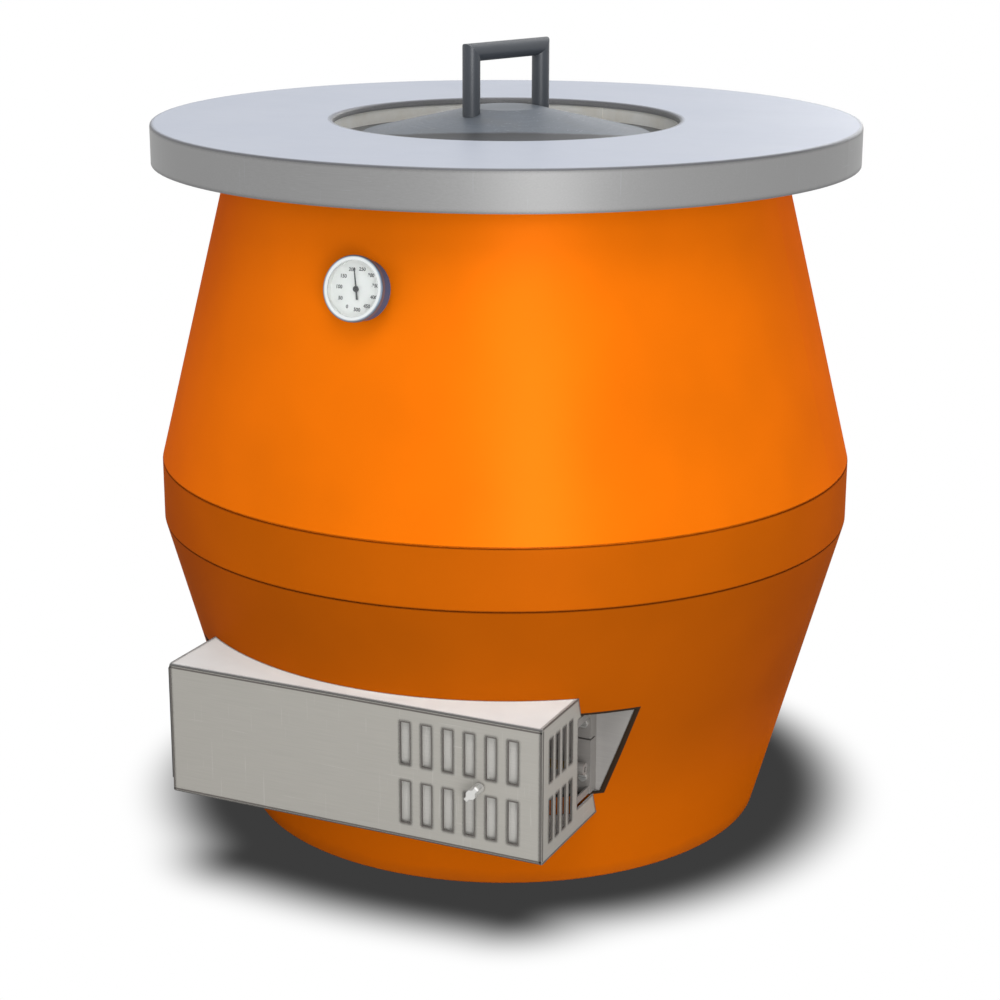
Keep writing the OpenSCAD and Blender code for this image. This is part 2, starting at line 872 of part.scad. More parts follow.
module tap_knob() {
    knob_y = guard_y + knob_proud;
    color("gainsboro") difference() {
        along_y(tap_x, knob_y, gas_z) rotate([0, 0, -knob_turn]) {
            cylinder(h = knob_l, r = knob_hub_r);
            for (side = [-1, 1]) hull() {
                translate([0, -wing_t / 2, 0]) cube([wing_root, wing_t, wing_l]);
                for (z = [wing_round_r, wing_l - wing_round_r])
                    translate([side * (knob_r - wing_round_r), wing_t / 2, z]) rotate([90, 0, 0])
                        cylinder(h = wing_t, r = wing_round_r, $fn = 32);
            }
        }
        along_y(tap_x, knob_y - knob_cap, gas_z) cylinder(h = knob_l, r = spindle_r + running);
    }
}

// Gas line

module inlet_pipe() {
    start_y = tap_front_y - spindle_bore - valve_wall - loose;
    bend_y = inlet_y + inlet_bend_r;
    color("goldenrod") union() {
        along_y(tap_x, start_y, inlet_z) cylinder(h = start_y - bend_y, r = pipe_r);
        translate([tap_x + inlet_bend_r, -bend_y, inlet_z]) rotate([0, 0, 90])
            rotate_extrude(angle = 90) translate([inlet_bend_r, 0]) circle(r = pipe_r);
        translate([tap_x + inlet_bend_r, -inlet_y, inlet_z]) rotate([0, 90, 0])
            cylinder(h = inlet_x - tap_x - inlet_bend_r, r = pipe_r);
    }
}

module inlet_nut() {
    color("gainsboro") translate([inlet_x, -inlet_y, inlet_z]) rotate([0, 90, 0])
        cylinder(h = inlet_nut_l, r = inlet_nut_r, $fn = 6);
}

module inlet_nipple() {
    color("goldenrod") translate([inlet_x + inlet_nut_l, -inlet_y, inlet_z]) rotate([0, 90, 0])
        ring(inlet_r / 2, inlet_r, inlet_l);
}

module supply_pipe() {
    start_x = tap_x - tap_w / 2 + pipe_seat;
    color("goldenrod") translate([start_x, -line_y, gas_z]) rotate([0, -90, 0])
        cylinder(h = start_x - holder_r / 2, r = pipe_r);
}

module injector_holder() {
    color("goldenrod") difference() {
        along_y(0, line_y + holder_l / 2, gas_z) cylinder(h = holder_l, r = holder_r);
        translate([holder_r / 2 - loose, -line_y, gas_z]) rotate([0, 90, 0])
            cylinder(h = holder_r, r = pipe_r + running);
    }
}

module injector_jet() {
    color("gold") along_y(0, line_y - holder_l / 2, gas_z) difference() {
        cylinder(h = jet_l, r1 = jet_r, r2 = jet_r / 2);
        translate([0, 0, -cut]) cylinder(h = jet_l + 2 * cut, r = jet_hole_r);
    }
}

// Burner

module mixer_tube() {
    end_y = burner_r + head_boss_l / 2;
    color("dimgray") difference() {
        along_y(0, mixer_front_y, burner_z) {
            cylinder(h = bell_l, r1 = bell_r, r2 = mixer_r);
            cylinder(h = mixer_front_y - end_y, r = mixer_r);
        }
        along_y(0, mixer_front_y + cut, burner_z) {
            cylinder(h = bell_l + cut, r1 = bell_r - mixer_wall + cut, r2 = mixer_r - mixer_wall);
            cylinder(h = mixer_front_y - end_y + 2 * cut, r = mixer_r - mixer_wall);
        }
    }
}

module burner_head() {
    inner_r = burner_r - 2 * mixer_wall;
    color("dimgray") difference() {
        union() {
            translate([0, 0, head_z]) cylinder(h = head_h, r = burner_r);
            along_y(0, burner_r + head_boss_l, burner_z) cylinder(h = head_boss_l + leg_r, r = head_boss_r);
            around(leg_count, burner_r - 2 * leg_r, leg_turn) translate([0, 0, hearth_z])
                cylinder(h = head_z - hearth_z + fuse, r = leg_r);
        }
        translate([0, 0, head_z + mixer_wall]) cylinder(h = head_h, r = inner_r);
        along_y(0, burner_r + head_boss_l + cut, burner_z)
            cylinder(h = head_boss_l / 2 + cut + gap, r = mixer_r + gap);
        along_y(0, burner_r + head_boss_l, burner_z)
            cylinder(h = 2 * head_boss_l, r = head_h / 2 - 2 * mixer_wall);
    }
}

module burner_cap() {
    color("dimgray") difference() {
        translate([0, 0, head_z + head_h]) cylinder(h = cap_t, r = burner_r);
        around(flame_hole_count, burner_r - flame_inset)
            translate([0, 0, head_z + head_h - cut]) cylinder(h = cap_t + 2 * cut, r = flame_hole_r);
    }
}

module heat_deflector() {
    color("dimgray") union() {
        translate([0, 0, deflector_z]) difference() {
            cylinder(h = deflector_rise, r1 = deflector_r, r2 = deflector_r / 3);
            translate([0, 0, -deflector_t])
                cylinder(h = deflector_rise, r1 = deflector_r, r2 = deflector_r / 3);
        }
        around(leg_count, deflector_r - 2 * leg_r, leg_turn) translate([0, 0, hearth_z])
            cylinder(h = deflector_z - hearth_z + deflector_t, r = leg_r);
    }
}

module thermocouple() {
    front_y = mixer_front_y - bell_l;
    color("silver") along_y(probe_x, front_y, burner_z)
        cylinder(h = front_y - burner_r - 2 * leg_r, r = probe_r);
}

// Thermometer

module gauge_case() {
    color("lightsteelblue") at_gauge() difference() {
        union() {
            translate([0, 0, case_z]) cylinder(h = case_l, r = case_r);
            translate([0, 0, gap]) cylinder(h = case_z, r = collar_nut_r);
            translate([0, 0, -socket_l]) cylinder(h = socket_l + fuse, r = socket_r);
        }
        translate([0, 0, case_z + case_t])
            cylinder(h = dial_z - case_z - case_t + cut, r = dial_r - dial_seat);
        translate([0, 0, dial_z]) cylinder(h = case_l, r = case_r - case_t);
        translate([0, 0, -socket_l - cut])
            cylinder(h = socket_l + case_z + case_t + 2 * cut, r = stem_r + gap);
    }
}

module gauge_bezel() {
    rim_z = lens_z - dial_seat;
    seat_z = lens_z + lens_t + gap;
    color("silver") at_gauge() rotate_extrude() polygon(concat(
        [[case_r + gap, rim_z], [bezel_r, rim_z]],
        arc(bezel_r - bezel_edge, gauge_depth - bezel_edge, bezel_edge, 0, 90),
        [[case_r - dial_seat, gauge_depth], [case_r - dial_seat, seat_z], [case_r + gap, seat_z]]
    ));
}

module gauge_lens() {
    color([0.9, 0.95, 1, 0.3]) at_gauge() translate([0, 0, lens_z]) cylinder(h = lens_t, r = case_r);
}

module gauge_dial() {
    color("white") at_gauge() translate([0, 0, dial_z]) ring(shaft_r + loose, dial_r, dial_t);
}

module gauge_needle() {
    color([0.1, 0.1, 0.1]) at_gauge() translate([0, 0, needle_z]) rotate([0, 0, needle_turn]) difference() {
        union() {
            linear_extrude(needle_t) polygon([
                [-needle_w / 2, -needle_tail], [needle_w / 2, -needle_tail],
                [needle_w / 4, needle_l], [-needle_w / 4, needle_l]
            ]);
            cylinder(h = 2 * needle_t, r = hub_r);
        }
        translate([0, 0, -cut]) cylinder(h = cut + needle_t, r = shaft_r + running);
    }
}

module gauge_shaft() {
    color("silver") at_gauge() translate([0, 0, needle_z + needle_t - shaft_l])
        cylinder(h = shaft_l, r = shaft_r);
}

module gauge_stem() {
    top = case_z + case_t;
    color("silver") at_gauge() difference() {
        union() {
            translate([0, 0, -stem_l]) cylinder(h = stem_l + top, r = stem_r);
            translate([0, 0, top]) cylinder(h = case_t, r = 2 * stem_r);
        }
        translate([0, 0, -stem_l + stem_wall]) cylinder(h = 2 * stem_l, r = stem_r - stem_wall);
    }
}

module gauge_nut() {
    color("silver") at_gauge() translate([0, 0, -sheet_t - loose - collar_nut_h]) difference() {
        cylinder(h = collar_nut_h, r = collar_nut_r, $fn = 6);
        translate([0, 0, -cut]) cylinder(h = collar_nut_h + 2 * cut, r = socket_r + running);
    }
}

// Lid

// Half of the lid's outline, drawn in by an inset and started lower by a drop
module lid_outline(inset, drop = 0) {
    polygon([
        [0, lid_z - drop], [lid_r - inset, lid_z - drop], [lid_r - inset, lid_cone_z - inset / 2],
        [lid_flat_r, lid_top_z - inset], [0, lid_top_z - inset]
    ]);
}

module at_posts() {
    for (side = [-1, 1]) rotate([0, 0, handle_turn]) translate([side * handle_foot_r, 0, 0]) children();
}

module lid_shell() {
    color("slategray") difference() {
        rotate_extrude() lid_outline(0);
        rotate_extrude() lid_outline(lid_t, cut);
        at_posts() translate([0, 0, lid_z]) cylinder(h = lid_rim_h + lid_rise, r = post_screw_r + loose);
    }
}

module lid_pan() {
    color("slategray") difference() {
        translate([0, 0, lid_z]) cylinder(h = lid_flange_h + lid_pan_t, r = lid_pan_r);
        translate([0, 0, lid_z + lid_pan_t]) cylinder(h = lid_flange_h + cut, r = lid_pan_r - lid_pan_t);
        at_posts() translate([0, 0, lid_z - cut]) cylinder(h = lid_flange_h, r = post_screw_r + loose);
    }
}

module lid_insulation() {
    packing_r = lid_pan_r - lid_pan_t - loose;
    packing_low = lid_z + lid_pan_t;
    color("lemonchiffon") difference() {
        intersection() {
            rotate_extrude() lid_outline(lid_t + loose);
            translate([0, 0, packing_low]) cylinder(h = lid_rise + lid_rim_h, r = packing_r);
        }
        at_posts() translate([0, 0, lid_z]) cylinder(h = lid_rim_h + lid_rise, r = post_screw_r + loose);
    }
}

// One half of the handle, from the middle of its bar over the mitred corner and down the post
module handle_half() {
    reach = handle_foot_r + handle_r;
    difference() {
        translate([0, 0, post_z]) cylinder(h = bar_z + handle_r - post_z, r = handle_r);
        translate([0, 0, bar_z]) rotate([0, -45, 0]) translate([-reach, -reach, 0]) cube(2 * reach);
    }
    difference() {
        translate([-handle_foot_r, 0, bar_z]) rotate([0, 90, 0]) cylinder(h = reach, r = handle_r);
        translate([0, 0, bar_z]) rotate([0, -45, 0]) translate([-reach, -reach, -2 * reach]) cube(2 * reach);
    }
}

module lid_handle() {
    stud_l = post_z - lid_z + lid_nut_h + thread_gap + fuse;
    color([0.25, 0.27, 0.3]) difference() {
        union() {
            for (turn = [0, 180]) rotate([0, 0, handle_turn + turn]) translate([handle_foot_r, 0, 0]) {
                handle_half();
                translate([0, 0, lid_z - lid_nut_h - thread_gap]) cylinder(h = stud_l, r = post_screw_r);
            }
        }
        difference() {
            rotate_extrude() lid_outline(-gap);
            at_posts() translate([0, 0, lid_z - cut])
                cylinder(h = lid_rise + lid_rim_h + 2 * cut, r = post_screw_r);
        }
    }
}

module lid_nuts() {
    color("silver") at_posts() translate([0, 0, lid_z - lid_nut_h]) difference() {
        cylinder(h = lid_nut_h, r = lid_nut_r, $fn = 6);
        translate([0, 0, -cut]) cylinder(h = lid_nut_h + 2 * cut, r = post_screw_r + running);
    }
}

base_plate();
base_screws();
lower_shell();
belt_band();
upper_shell();
worktop();
mouth_lip();
worktop_ring();
worktop_board();
worktop_bolts();
worktop_nuts();
mouth_collar();
lid_ledge();
rim_gasket();
clay_pot();
base_board();
hearth_slab();
lower_insulation();
upper_insulation();
burner_recess();
recess_screws();
port_sleeve();
port_plate();
guard_wrap();
guard_end_right();
guard_end_left();
guard_bracket_right();
guard_bracket_left();
bracket_screws();
baffle();
end_cover();
cover_screws();
tap_body();
tap_nut();
tap_spindle();
tap_knob();
inlet_pipe();
inlet_nut();
inlet_nipple();
supply_pipe();
injector_holder();
injector_jet();
mixer_tube();
burner_head();
burner_cap();
heat_deflector();
thermocouple();
gauge_case();
gauge_bezel();
gauge_lens();
gauge_dial();
gauge_needle();
gauge_shaft();
gauge_stem();
gauge_nut();
lid_shell();
lid_pan();
lid_insulation();
lid_handle();
lid_nuts();
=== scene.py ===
# %% [markdown]
# A gas fired clay tandoor is a clay pot inside two painted sheet metal cones, under a wide stainless
# worktop. The exact solids of its pieces are loaded first. This script gives each of them its finish, and
# adds a few small pieces that show best as a mesh: the dark rims of slots and folds, the dial's print and
# lining, and the handle's weld beads. Everything is in metres, with the floor at zero and the front facing
# -Y.

# %% Load the pieces
import bpy, bmesh, json, math
from mathutils import Vector, Matrix


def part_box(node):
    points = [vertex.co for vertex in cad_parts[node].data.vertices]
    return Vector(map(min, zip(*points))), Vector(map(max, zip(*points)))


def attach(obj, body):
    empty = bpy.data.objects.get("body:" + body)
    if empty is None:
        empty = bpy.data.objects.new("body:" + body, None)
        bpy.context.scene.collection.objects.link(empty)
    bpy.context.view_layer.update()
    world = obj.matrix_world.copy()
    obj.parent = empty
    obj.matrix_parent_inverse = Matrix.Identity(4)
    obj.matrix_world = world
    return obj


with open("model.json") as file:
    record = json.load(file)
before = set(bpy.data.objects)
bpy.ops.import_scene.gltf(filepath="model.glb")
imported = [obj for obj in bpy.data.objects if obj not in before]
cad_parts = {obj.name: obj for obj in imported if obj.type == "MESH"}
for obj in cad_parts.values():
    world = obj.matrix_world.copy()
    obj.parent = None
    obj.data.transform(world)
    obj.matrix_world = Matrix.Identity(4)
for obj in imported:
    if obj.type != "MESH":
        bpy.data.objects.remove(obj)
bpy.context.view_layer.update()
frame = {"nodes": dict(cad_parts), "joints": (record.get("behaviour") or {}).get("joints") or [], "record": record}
nodes = frame["nodes"]

# %% [markdown]
# The photograph is taken from a little above the worktop, 24.7 degrees round to the right of the burner
# guard. A long lens keeps the cones' sides nearly parallel, so the camera stands well back.

# %% Camera
VIEW_TURN = math.radians(24.7)
CAMERA_BACK = 2.58
CAMERA_UP = 1.118
CAMERA_PITCH = math.radians(73.43)
CAMERA_YAW = math.radians(0.13)
CAMERA_ROLL = math.radians(0.17)
LENS_MM = 81.5
SENSOR_MM = 36

camera = bpy.data.objects.new("camera", bpy.data.cameras.new("camera"))
bpy.context.scene.collection.objects.link(camera)
bpy.context.scene.camera = camera
camera.data.lens = LENS_MM
camera.data.sensor_width = SENSOR_MM
camera.location = (CAMERA_BACK * math.sin(VIEW_TURN), -CAMERA_BACK * math.cos(VIEW_TURN), CAMERA_UP)
yaw = Matrix.Rotation(VIEW_TURN + CAMERA_YAW, 3, "Z")
pitch = Matrix.Rotation(CAMERA_PITCH, 3, "X")
roll = Matrix.Rotation(CAMERA_ROLL, 3, "Z")
camera.rotation_euler = (yaw @ pitch @ roll).to_euler()
bpy.context.scene.view_settings.view_transform = "Standard"
print("camera at", [round(v, 3) for v in camera.location])

# %% [markdown]
# Every finish is a network of shader nodes, all of them procedural. A few short functions add, link and
# reckon with nodes, so that a finish reads like the sentence that describes it.

# %% Nodes made in a few words
def add(tree, kind, **settings):
    """Adds a shader node. A setting that names an input sets its value, any other sets an attribute."""
    node = tree.nodes.new(kind)
    for name, value in settings.items():
        if name in node.inputs:
            node.inputs[name].default_value = value
        else:
            setattr(node, name, value)
    return node


def join(tree, *links):
    """Links sockets, given as pairs of an output and an input."""
    for output, target in links:
        tree.links.new(output, target)


def maths(tree, operation, *values):
    """A Math node of one to three values, each a number or a socket."""
    node = add(tree, "ShaderNodeMath", operation=operation)
    for socket, value in zip(node.inputs, values):
        if isinstance(value, (int, float)):
            socket.default_value = value
        else:
            tree.links.new(value, socket)
    return node.outputs[0]


print("node helpers ready")

# %% [markdown]
# Values are spread over a range, colours are mixed by a share, and a colour is given as it looks on screen.

# %% Values and colours in a few words
def ramp(tree, value, low, high, shape="LINEAR"):
    """Spreads value between low and high over 0 to 1, and clamps it."""
    node = add(tree, "ShaderNodeMapRange", clamp=True, interpolation_type=shape)
    node.inputs["From Min"].default_value = low
    node.inputs["From Max"].default_value = high
    tree.links.new(value, node.inputs["Value"])
    return node.outputs["Result"]


def mix_colour(tree, share, first, second):
    """A colour mix. Each colour is an RGB triple or a socket."""
    node = add(tree, "ShaderNodeMix", data_type="RGBA")
    for socket, value in ((node.inputs[0], share), (node.inputs[6], first), (node.inputs[7], second)):
        if isinstance(value, (int, float)):
            socket.default_value = value
        elif isinstance(value, tuple):
            socket.default_value = (*value, 1)
        else:
            tree.links.new(value, socket)
    return node.outputs[2]


def lean(tree, value, low, high):
    """A value of 0 to 1, spread from low to high, for a shader's input."""
    node = add(tree, "ShaderNodeMapRange")
    node.inputs["To Min"].default_value = low
    node.inputs["To Max"].default_value = high
    tree.links.new(value, node.inputs["Value"])
    return node.outputs["Result"]


def length(tree, across, deep):
    """Length of the flat vector with these two parts."""
    squares = [maths(tree, "MULTIPLY", part, part) for part in (across, deep)]
    return maths(tree, "SQRT", maths(tree, "ADD", *squares))


def srgb(*screen):
    """A colour as it is read on screen, 0 to 255, as the linear triple that the shader needs."""
    return tuple(((v / 255 + 0.055) / 1.055) ** 2.4 if v > 10 else v / 255 / 12.92 for v in screen)


print("an orange in linear light:", [round(v, 3) for v in srgb(250, 121, 8)])

# %% [markdown]
# The world behind the part is white, but only for what the camera, a reflection or a glass sees. As a light
# it is much weaker, so that the lamps give the object its shape.

# %% World
SKY_LIGHT = 0.3


def only_seen(tree):
    """1 for what the camera, a reflection or a glass sees, 0 for light that falls on things."""
    rays = add(tree, "ShaderNodeLightPath").outputs
    mirrored = maths(tree, "MAXIMUM", rays["Is Camera Ray"], rays["Is Glossy Ray"])
    return maths(tree, "MAXIMUM", mirrored, rays["Is Transmission Ray"])


world = bpy.data.worlds.new("studio")
bpy.context.scene.world = world
world.use_nodes = True
tree = world.node_tree
strength = maths(tree, "MULTIPLY_ADD", only_seen(tree), 1 - SKY_LIGHT, SKY_LIGHT)
join(tree, (strength, tree.nodes["Background"].inputs["Strength"]))
tree.nodes["Background"].inputs["Color"].default_value = (1, 1, 1, 1)
print("world set, its light is", SKY_LIGHT)

# %% [markdown]
# The part stands on a plain pale floor that runs out of sight. Like the world, the floor is white for the
# camera and duller as a light. For the camera it carries a painted shadow, soft, as a wide light straight
# above would throw it: dark under the worktop and the guard, and faded out past their edges. The two
# painted shadows melt into one where they meet.

# %% Floor
FLOOR_HALF = 30.0
FLOOR_DROP = 0.0005
FLOOR_TONE = (0.62, 0.62, 0.62)
SHADOW_LEVEL = 0.045
SHADOW_SOFT = 0.14
SHADOW_MELT = 0.06
SHADE_INSET = 0.062
GUARD_FRONT_INSET = 0.057
WORKTOP_SHADE_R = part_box("worktop")[1].x - SHADE_INSET
GUARD_SHADE_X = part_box("guard_wrap")[1].x - SHADE_INSET
GUARD_SHADE_Y = -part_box("guard_wrap")[0].y - GUARD_FRONT_INSET

floor_mesh = bpy.data.meshes.new("floor")
corners = [(x * FLOOR_HALF, y * FLOOR_HALF, 0) for x, y in ((-1, -1), (1, -1), (1, 1), (-1, 1))]
floor_mesh.from_pydata(corners, [], [(0, 1, 2, 3)])
floor = bpy.data.objects.new("floor", floor_mesh)
bpy.context.scene.collection.objects.link(floor)
floor.location.z = -FLOOR_DROP
floor_paper = bpy.data.materials.new("floor_paper")
floor_paper.use_nodes = True
floor.data.materials.append(floor_paper)
tree = floor_paper.node_tree
paper = tree.nodes["Principled BSDF"]
paper.inputs["Base Color"].default_value = (*FLOOR_TONE, 1)
paper.inputs["Roughness"].default_value = 0.9
paper.inputs["Specular IOR Level"].default_value = 0.0
spot = add(tree, "ShaderNodeSeparateXYZ")
join(tree, (add(tree, "ShaderNodeTexCoord").outputs["Object"], spot.inputs[0]))
past_front = maths(tree, "SUBTRACT", maths(tree, "MULTIPLY", spot.outputs[1], -1.0), GUARD_SHADE_Y)
past_side = maths(tree, "SUBTRACT", maths(tree, "ABSOLUTE", spot.outputs[0]), GUARD_SHADE_X)
past_worktop = maths(tree, "SUBTRACT", length(tree, spot.outputs[0], spot.outputs[1]), WORKTOP_SHADE_R)
past_front = maths(tree, "MAXIMUM", past_front, spot.outputs[1])
past_guard = length(tree, *[maths(tree, "MAXIMUM", part, 0.0) for part in (past_side, past_front)])
past_both = maths(tree, "SMOOTH_MIN", past_worktop, past_guard, SHADOW_MELT)
# painted shadow: dark inside the outlines of the worktop and the guard seen from above, fading past them
shade = ramp(tree, past_both, 0.0, SHADOW_SOFT, "SMOOTHERSTEP")
glow = add(tree, "ShaderNodeEmission")
choice = add(tree, "ShaderNodeMixShader")
join(
    tree, (maths(tree, "MULTIPLY_ADD", shade, 1 - SHADOW_LEVEL, SHADOW_LEVEL), glow.inputs["Strength"]),
    (only_seen(tree), choice.inputs[0]),
    (paper.outputs[0], choice.inputs[1]),
    (glow.outputs[0], choice.inputs[2]),
    (choice.outputs[0], tree.nodes["Material Output"].inputs["Surface"]),
)
print("floor set, its shadow fades over", SHADOW_SOFT, "m")

# %% [markdown]
# Two soft lamps stand to the right of the camera. The key lamp gives the upper cone its bright band, and
# the low one reaches under the worktop and lights the guard. Two more, in front and overhead, light the
# worktop and the guard's top. A weak fill on the left and one behind keep the far sides from going dark.

# %% Lamps
def lamp(name, place, aim, size, watts):
    """An area lamp at place that looks at aim."""
    light = bpy.data.lights.new(name, "AREA")
    light.shape = "DISK"
    light.size = size
    light.energy = watts
    holder = bpy.data.objects.new(name, light)
    bpy.context.scene.collection.objects.link(holder)
    holder.location = place
    holder.rotation_euler = (Vector(aim) - Vector(place)).to_track_quat("-Z", "Y").to_euler()
    return holder


MIDDLE = (0, 0, 0.5)
lamp("key", (2.12, -3.40, 1.45), MIDDLE, 1.5, 30)
lamp("front_top", (0.9, -2.4, 3.0), MIDDLE, 1.8, 30)
lamp("overhead", (0.0, 0.3, 3.4), MIDDLE, 2.4, 34)
lamp("left_fill", (-3.4, -1.4, 1.5), MIDDLE, 2.4, 6)
lamp("low_front", (2.2, -3.1, 0.35), (0, 0, 0.35), 1.5, 47)
lamp("back_fill", (0.5, 3.6, 2.0), MIDDLE, 2.6, 45)

# %% [markdown]
# Sheet metal is never one flat colour. Rolling leaves a fine grain, edges are rubbed, dust settles on what
# faces up, and handling leaves hairline scratches. Each of these effects is a node group, built once and
# placed in every material that shows it, with its own values.

# %% Group maker
def new_group(name, inputs, outputs):
    """A node group with value inputs, given with their defaults, and value outputs."""
    made = bpy.data.node_groups.new(name, "ShaderNodeTree")
    for socket, default in inputs.items():
        item = made.interface.new_socket(socket, in_out="INPUT", socket_type="NodeSocketFloat")
        item.default_value = default
    for socket in outputs:
        made.interface.new_socket(socket, in_out="OUTPUT", socket_type="NodeSocketFloat")
    return made, made.nodes.new("NodeGroupInput").outputs, made.nodes.new("NodeGroupOutput").inputs


def place(tree, made, **values):
    """Puts a group into a material. An underscore in a value's name stands for a space."""
    node = add(tree, "ShaderNodeGroup", node_tree=made)
    for name, value in values.items():
        node.inputs[name.replace("_", " ")].default_value = value
    return node.outputs


def noise(tree, vector, scale, detail=2.0, roughness=0.5):
    """Noise over a vector. The scale is a number or a socket."""
    node = add(tree, "ShaderNodeTexNoise", Detail=detail, Roughness=roughness)
    if isinstance(scale, (int, float)):
        node.inputs["Scale"].default_value = scale
    else:
        tree.links.new(scale, node.inputs["Scale"])
    tree.links.new(vector, node.inputs["Vector"])
    return node.outputs["Fac"]


print("group helpers ready")

# %% [markdown]
# Grain is noise squeezed into lines. On rolled sheet it runs straight, and on spun or turned pieces it runs
# in rings round the upright axis.

# %% Groups: grain
RING_TWIST = 0.004


def make_grain():
    """Fine lines, as rolling or brushing leaves them. Stretch is how much each axis counts."""
    stretches = {"Stretch X": 0.02, "Stretch Y": 0.02, "Stretch Z": 1.0}
    made, given, result = new_group("sheet_grain", {"Fineness": 900.0, **stretches}, ["Grain"])
    spot = add(made, "ShaderNodeTexCoord").outputs["Object"]
    stretch = add(made, "ShaderNodeCombineXYZ")
    lines = add(made, "ShaderNodeVectorMath", operation="MULTIPLY")
    join(made, *[(given[name], stretch.inputs[axis]) for axis, name in enumerate(stretches)])
    join(made, (spot, lines.inputs[0]), (stretch.outputs[0], lines.inputs[1]))
    join(made, (noise(made, lines.outputs[0], given["Fineness"], detail=3.0), result["Grain"]))
    return made


def make_spun_grain():
    """Rings round the upright axis, as spinning or turning leaves them."""
    made, given, result = new_group("spun_grain", {"Fineness": 700.0}, ["Grain"])
    spot = add(made, "ShaderNodeSeparateXYZ")
    join(made, (add(made, "ShaderNodeTexCoord").outputs["Object"], spot.inputs[0]))
    radius = length(made, spot.outputs[0], spot.outputs[1])
    angle = maths(made, "MULTIPLY", maths(made, "ARCTAN2", spot.outputs[1], spot.outputs[0]), RING_TWIST)
    rings = add(made, "ShaderNodeCombineXYZ")
    join(made, (radius, rings.inputs[0]), (angle, rings.inputs[1]), (spot.outputs[2], rings.inputs[2]))
    join(made, (noise(made, rings.outputs[0], given["Fineness"], detail=3.0), result["Grain"]))
    return made


grain = make_grain()
spun_grain = make_spun_grain()
print("groups:", grain.name, spun_grain.name)

# %% [markdown]
# Edges are found by comparing the surface with a copy of it that has its edges rounded over. Dust lies on
# what faces up, and dirt climbs a little way from the floor.

# %% Groups: rubbed edges and settled dust
def make_rubbed_edges():
    """The line along sharp edges, and a mask of it broken up as rubbing leaves it."""
    made, given, result = new_group("rubbed_edges", {"Width": 0.0015, "Breakup": 180.0}, ["Line", "Mask"])
    rounded = add(made, "ShaderNodeBevel", samples=4)
    bend = add(made, "ShaderNodeVectorMath", operation="DOT_PRODUCT")
    join(
        made, (given["Width"], rounded.inputs["Radius"]), (rounded.outputs[0], bend.inputs[0]),
        (add(made, "ShaderNodeNewGeometry").outputs["Normal"], bend.inputs[1]),
    )
    edge = ramp(made, maths(made, "SUBTRACT", 1.0, bend.outputs["Value"]), 0.004, 0.06)
    spot = add(made, "ShaderNodeTexCoord").outputs["Object"]
    patches = ramp(made, noise(made, spot, given["Breakup"], detail=4.0), 0.42, 0.6)
    join(made, (edge, result["Line"]), (maths(made, "MULTIPLY", edge, patches), result["Mask"]))
    return made


def make_dust():
    """Dust on what faces up, and dirt that climbs a little way from the floor."""
    sizes = {"Patch size": 14.0, "Dirt height": 0.05}
    made, given, result = new_group("settled_dust", sizes, ["Dust", "Dirt"])
    spot = add(made, "ShaderNodeTexCoord").outputs["Object"]
    parts = add(made, "ShaderNodeSeparateXYZ")
    facing = add(made, "ShaderNodeSeparateXYZ")
    join(
        made, (spot, parts.inputs[0]),
        (add(made, "ShaderNodeNewGeometry").outputs["Normal"], facing.inputs[0]),
    )
    patches = noise(made, spot, given["Patch size"], detail=6.0, roughness=0.65)
    up = ramp(made, facing.outputs[2], 0.2, 0.95)
    join(made, (maths(made, "MULTIPLY", up, ramp(made, patches, 0.4, 0.75)), result["Dust"]))
    height = maths(made, "DIVIDE", parts.outputs[2], given["Dirt height"])
    low = maths(made, "SUBTRACT", 1.0, ramp(made, maths(made, "ADD", height, patches), 0.3, 1.4))
    join(made, (low, result["Dirt"]))
    return made


rubbed_edges = make_rubbed_edges()
dust = make_dust()
print("groups:", rubbed_edges.name, dust.name)

# %% [markdown]
# Hairlines are the crests of a noise that is drawn out along one axis, and each axis has its own. Powder
# paint has a fine skin over the slow waves of the sheet.

# %% Groups: hairlines and paint skin
SCRATCH_SQUEEZE = 0.015
SCRATCH_TILT = 0.12


def make_scratches():
    """Hairlines along each axis, shown on the faces that the axis runs along."""
    made, given, result = new_group("hairlines", {"Fineness": 700.0, "Share": 0.7}, ["Mask"])
    spot = add(made, "ShaderNodeTexCoord").outputs["Object"]
    facing = add(made, "ShaderNodeSeparateXYZ")
    join(made, (add(made, "ShaderNodeNewGeometry").outputs["Normal"], facing.inputs[0]))
    total = 0.0
    for axis in range(3):
        mapping = add(made, "ShaderNodeMapping")
        mapping.inputs["Rotation"].default_value = [0.0 if i == axis else SCRATCH_TILT for i in range(3)]
        mapping.inputs["Scale"].default_value = [SCRATCH_SQUEEZE if i == axis else 1.0 for i in range(3)]
        join(made, (spot, mapping.inputs[0]))
        lines = noise(made, mapping.outputs[0], given["Fineness"], 1.0)
        crest = maths(made, "GREATER_THAN", lines, given["Share"])
        along = ramp(made, maths(made, "ABSOLUTE", facing.outputs[axis]), 0.35, 0.1)
        total = maths(made, "MAXIMUM", maths(made, "MULTIPLY", crest, along), total)
    join(made, (total, result["Mask"]))
    return made


def make_paint_skin():
    """The fine orange skin of baked powder paint, over the slow waves of rolled sheet."""
    made, given, result = new_group("paint_skin", {"Skin": 420.0, "Waves": 7.0}, ["Height", "Tone"])
    spot = add(made, "ShaderNodeTexCoord").outputs["Object"]
    skin = maths(made, "MULTIPLY", noise(made, spot, given["Skin"], detail=1.0), 0.25)
    waves = noise(made, spot, given["Waves"], detail=2.0)
    join(made, (maths(made, "ADD", skin, waves), result["Height"]), (waves, result["Tone"]))
    return made


hairlines = make_scratches()
paint_skin = make_paint_skin()
print("groups:", [g.name for g in bpy.data.node_groups])

# %% [markdown]
# Every material starts from one Principled shader. Its relief is kept small, because the shapes are real.

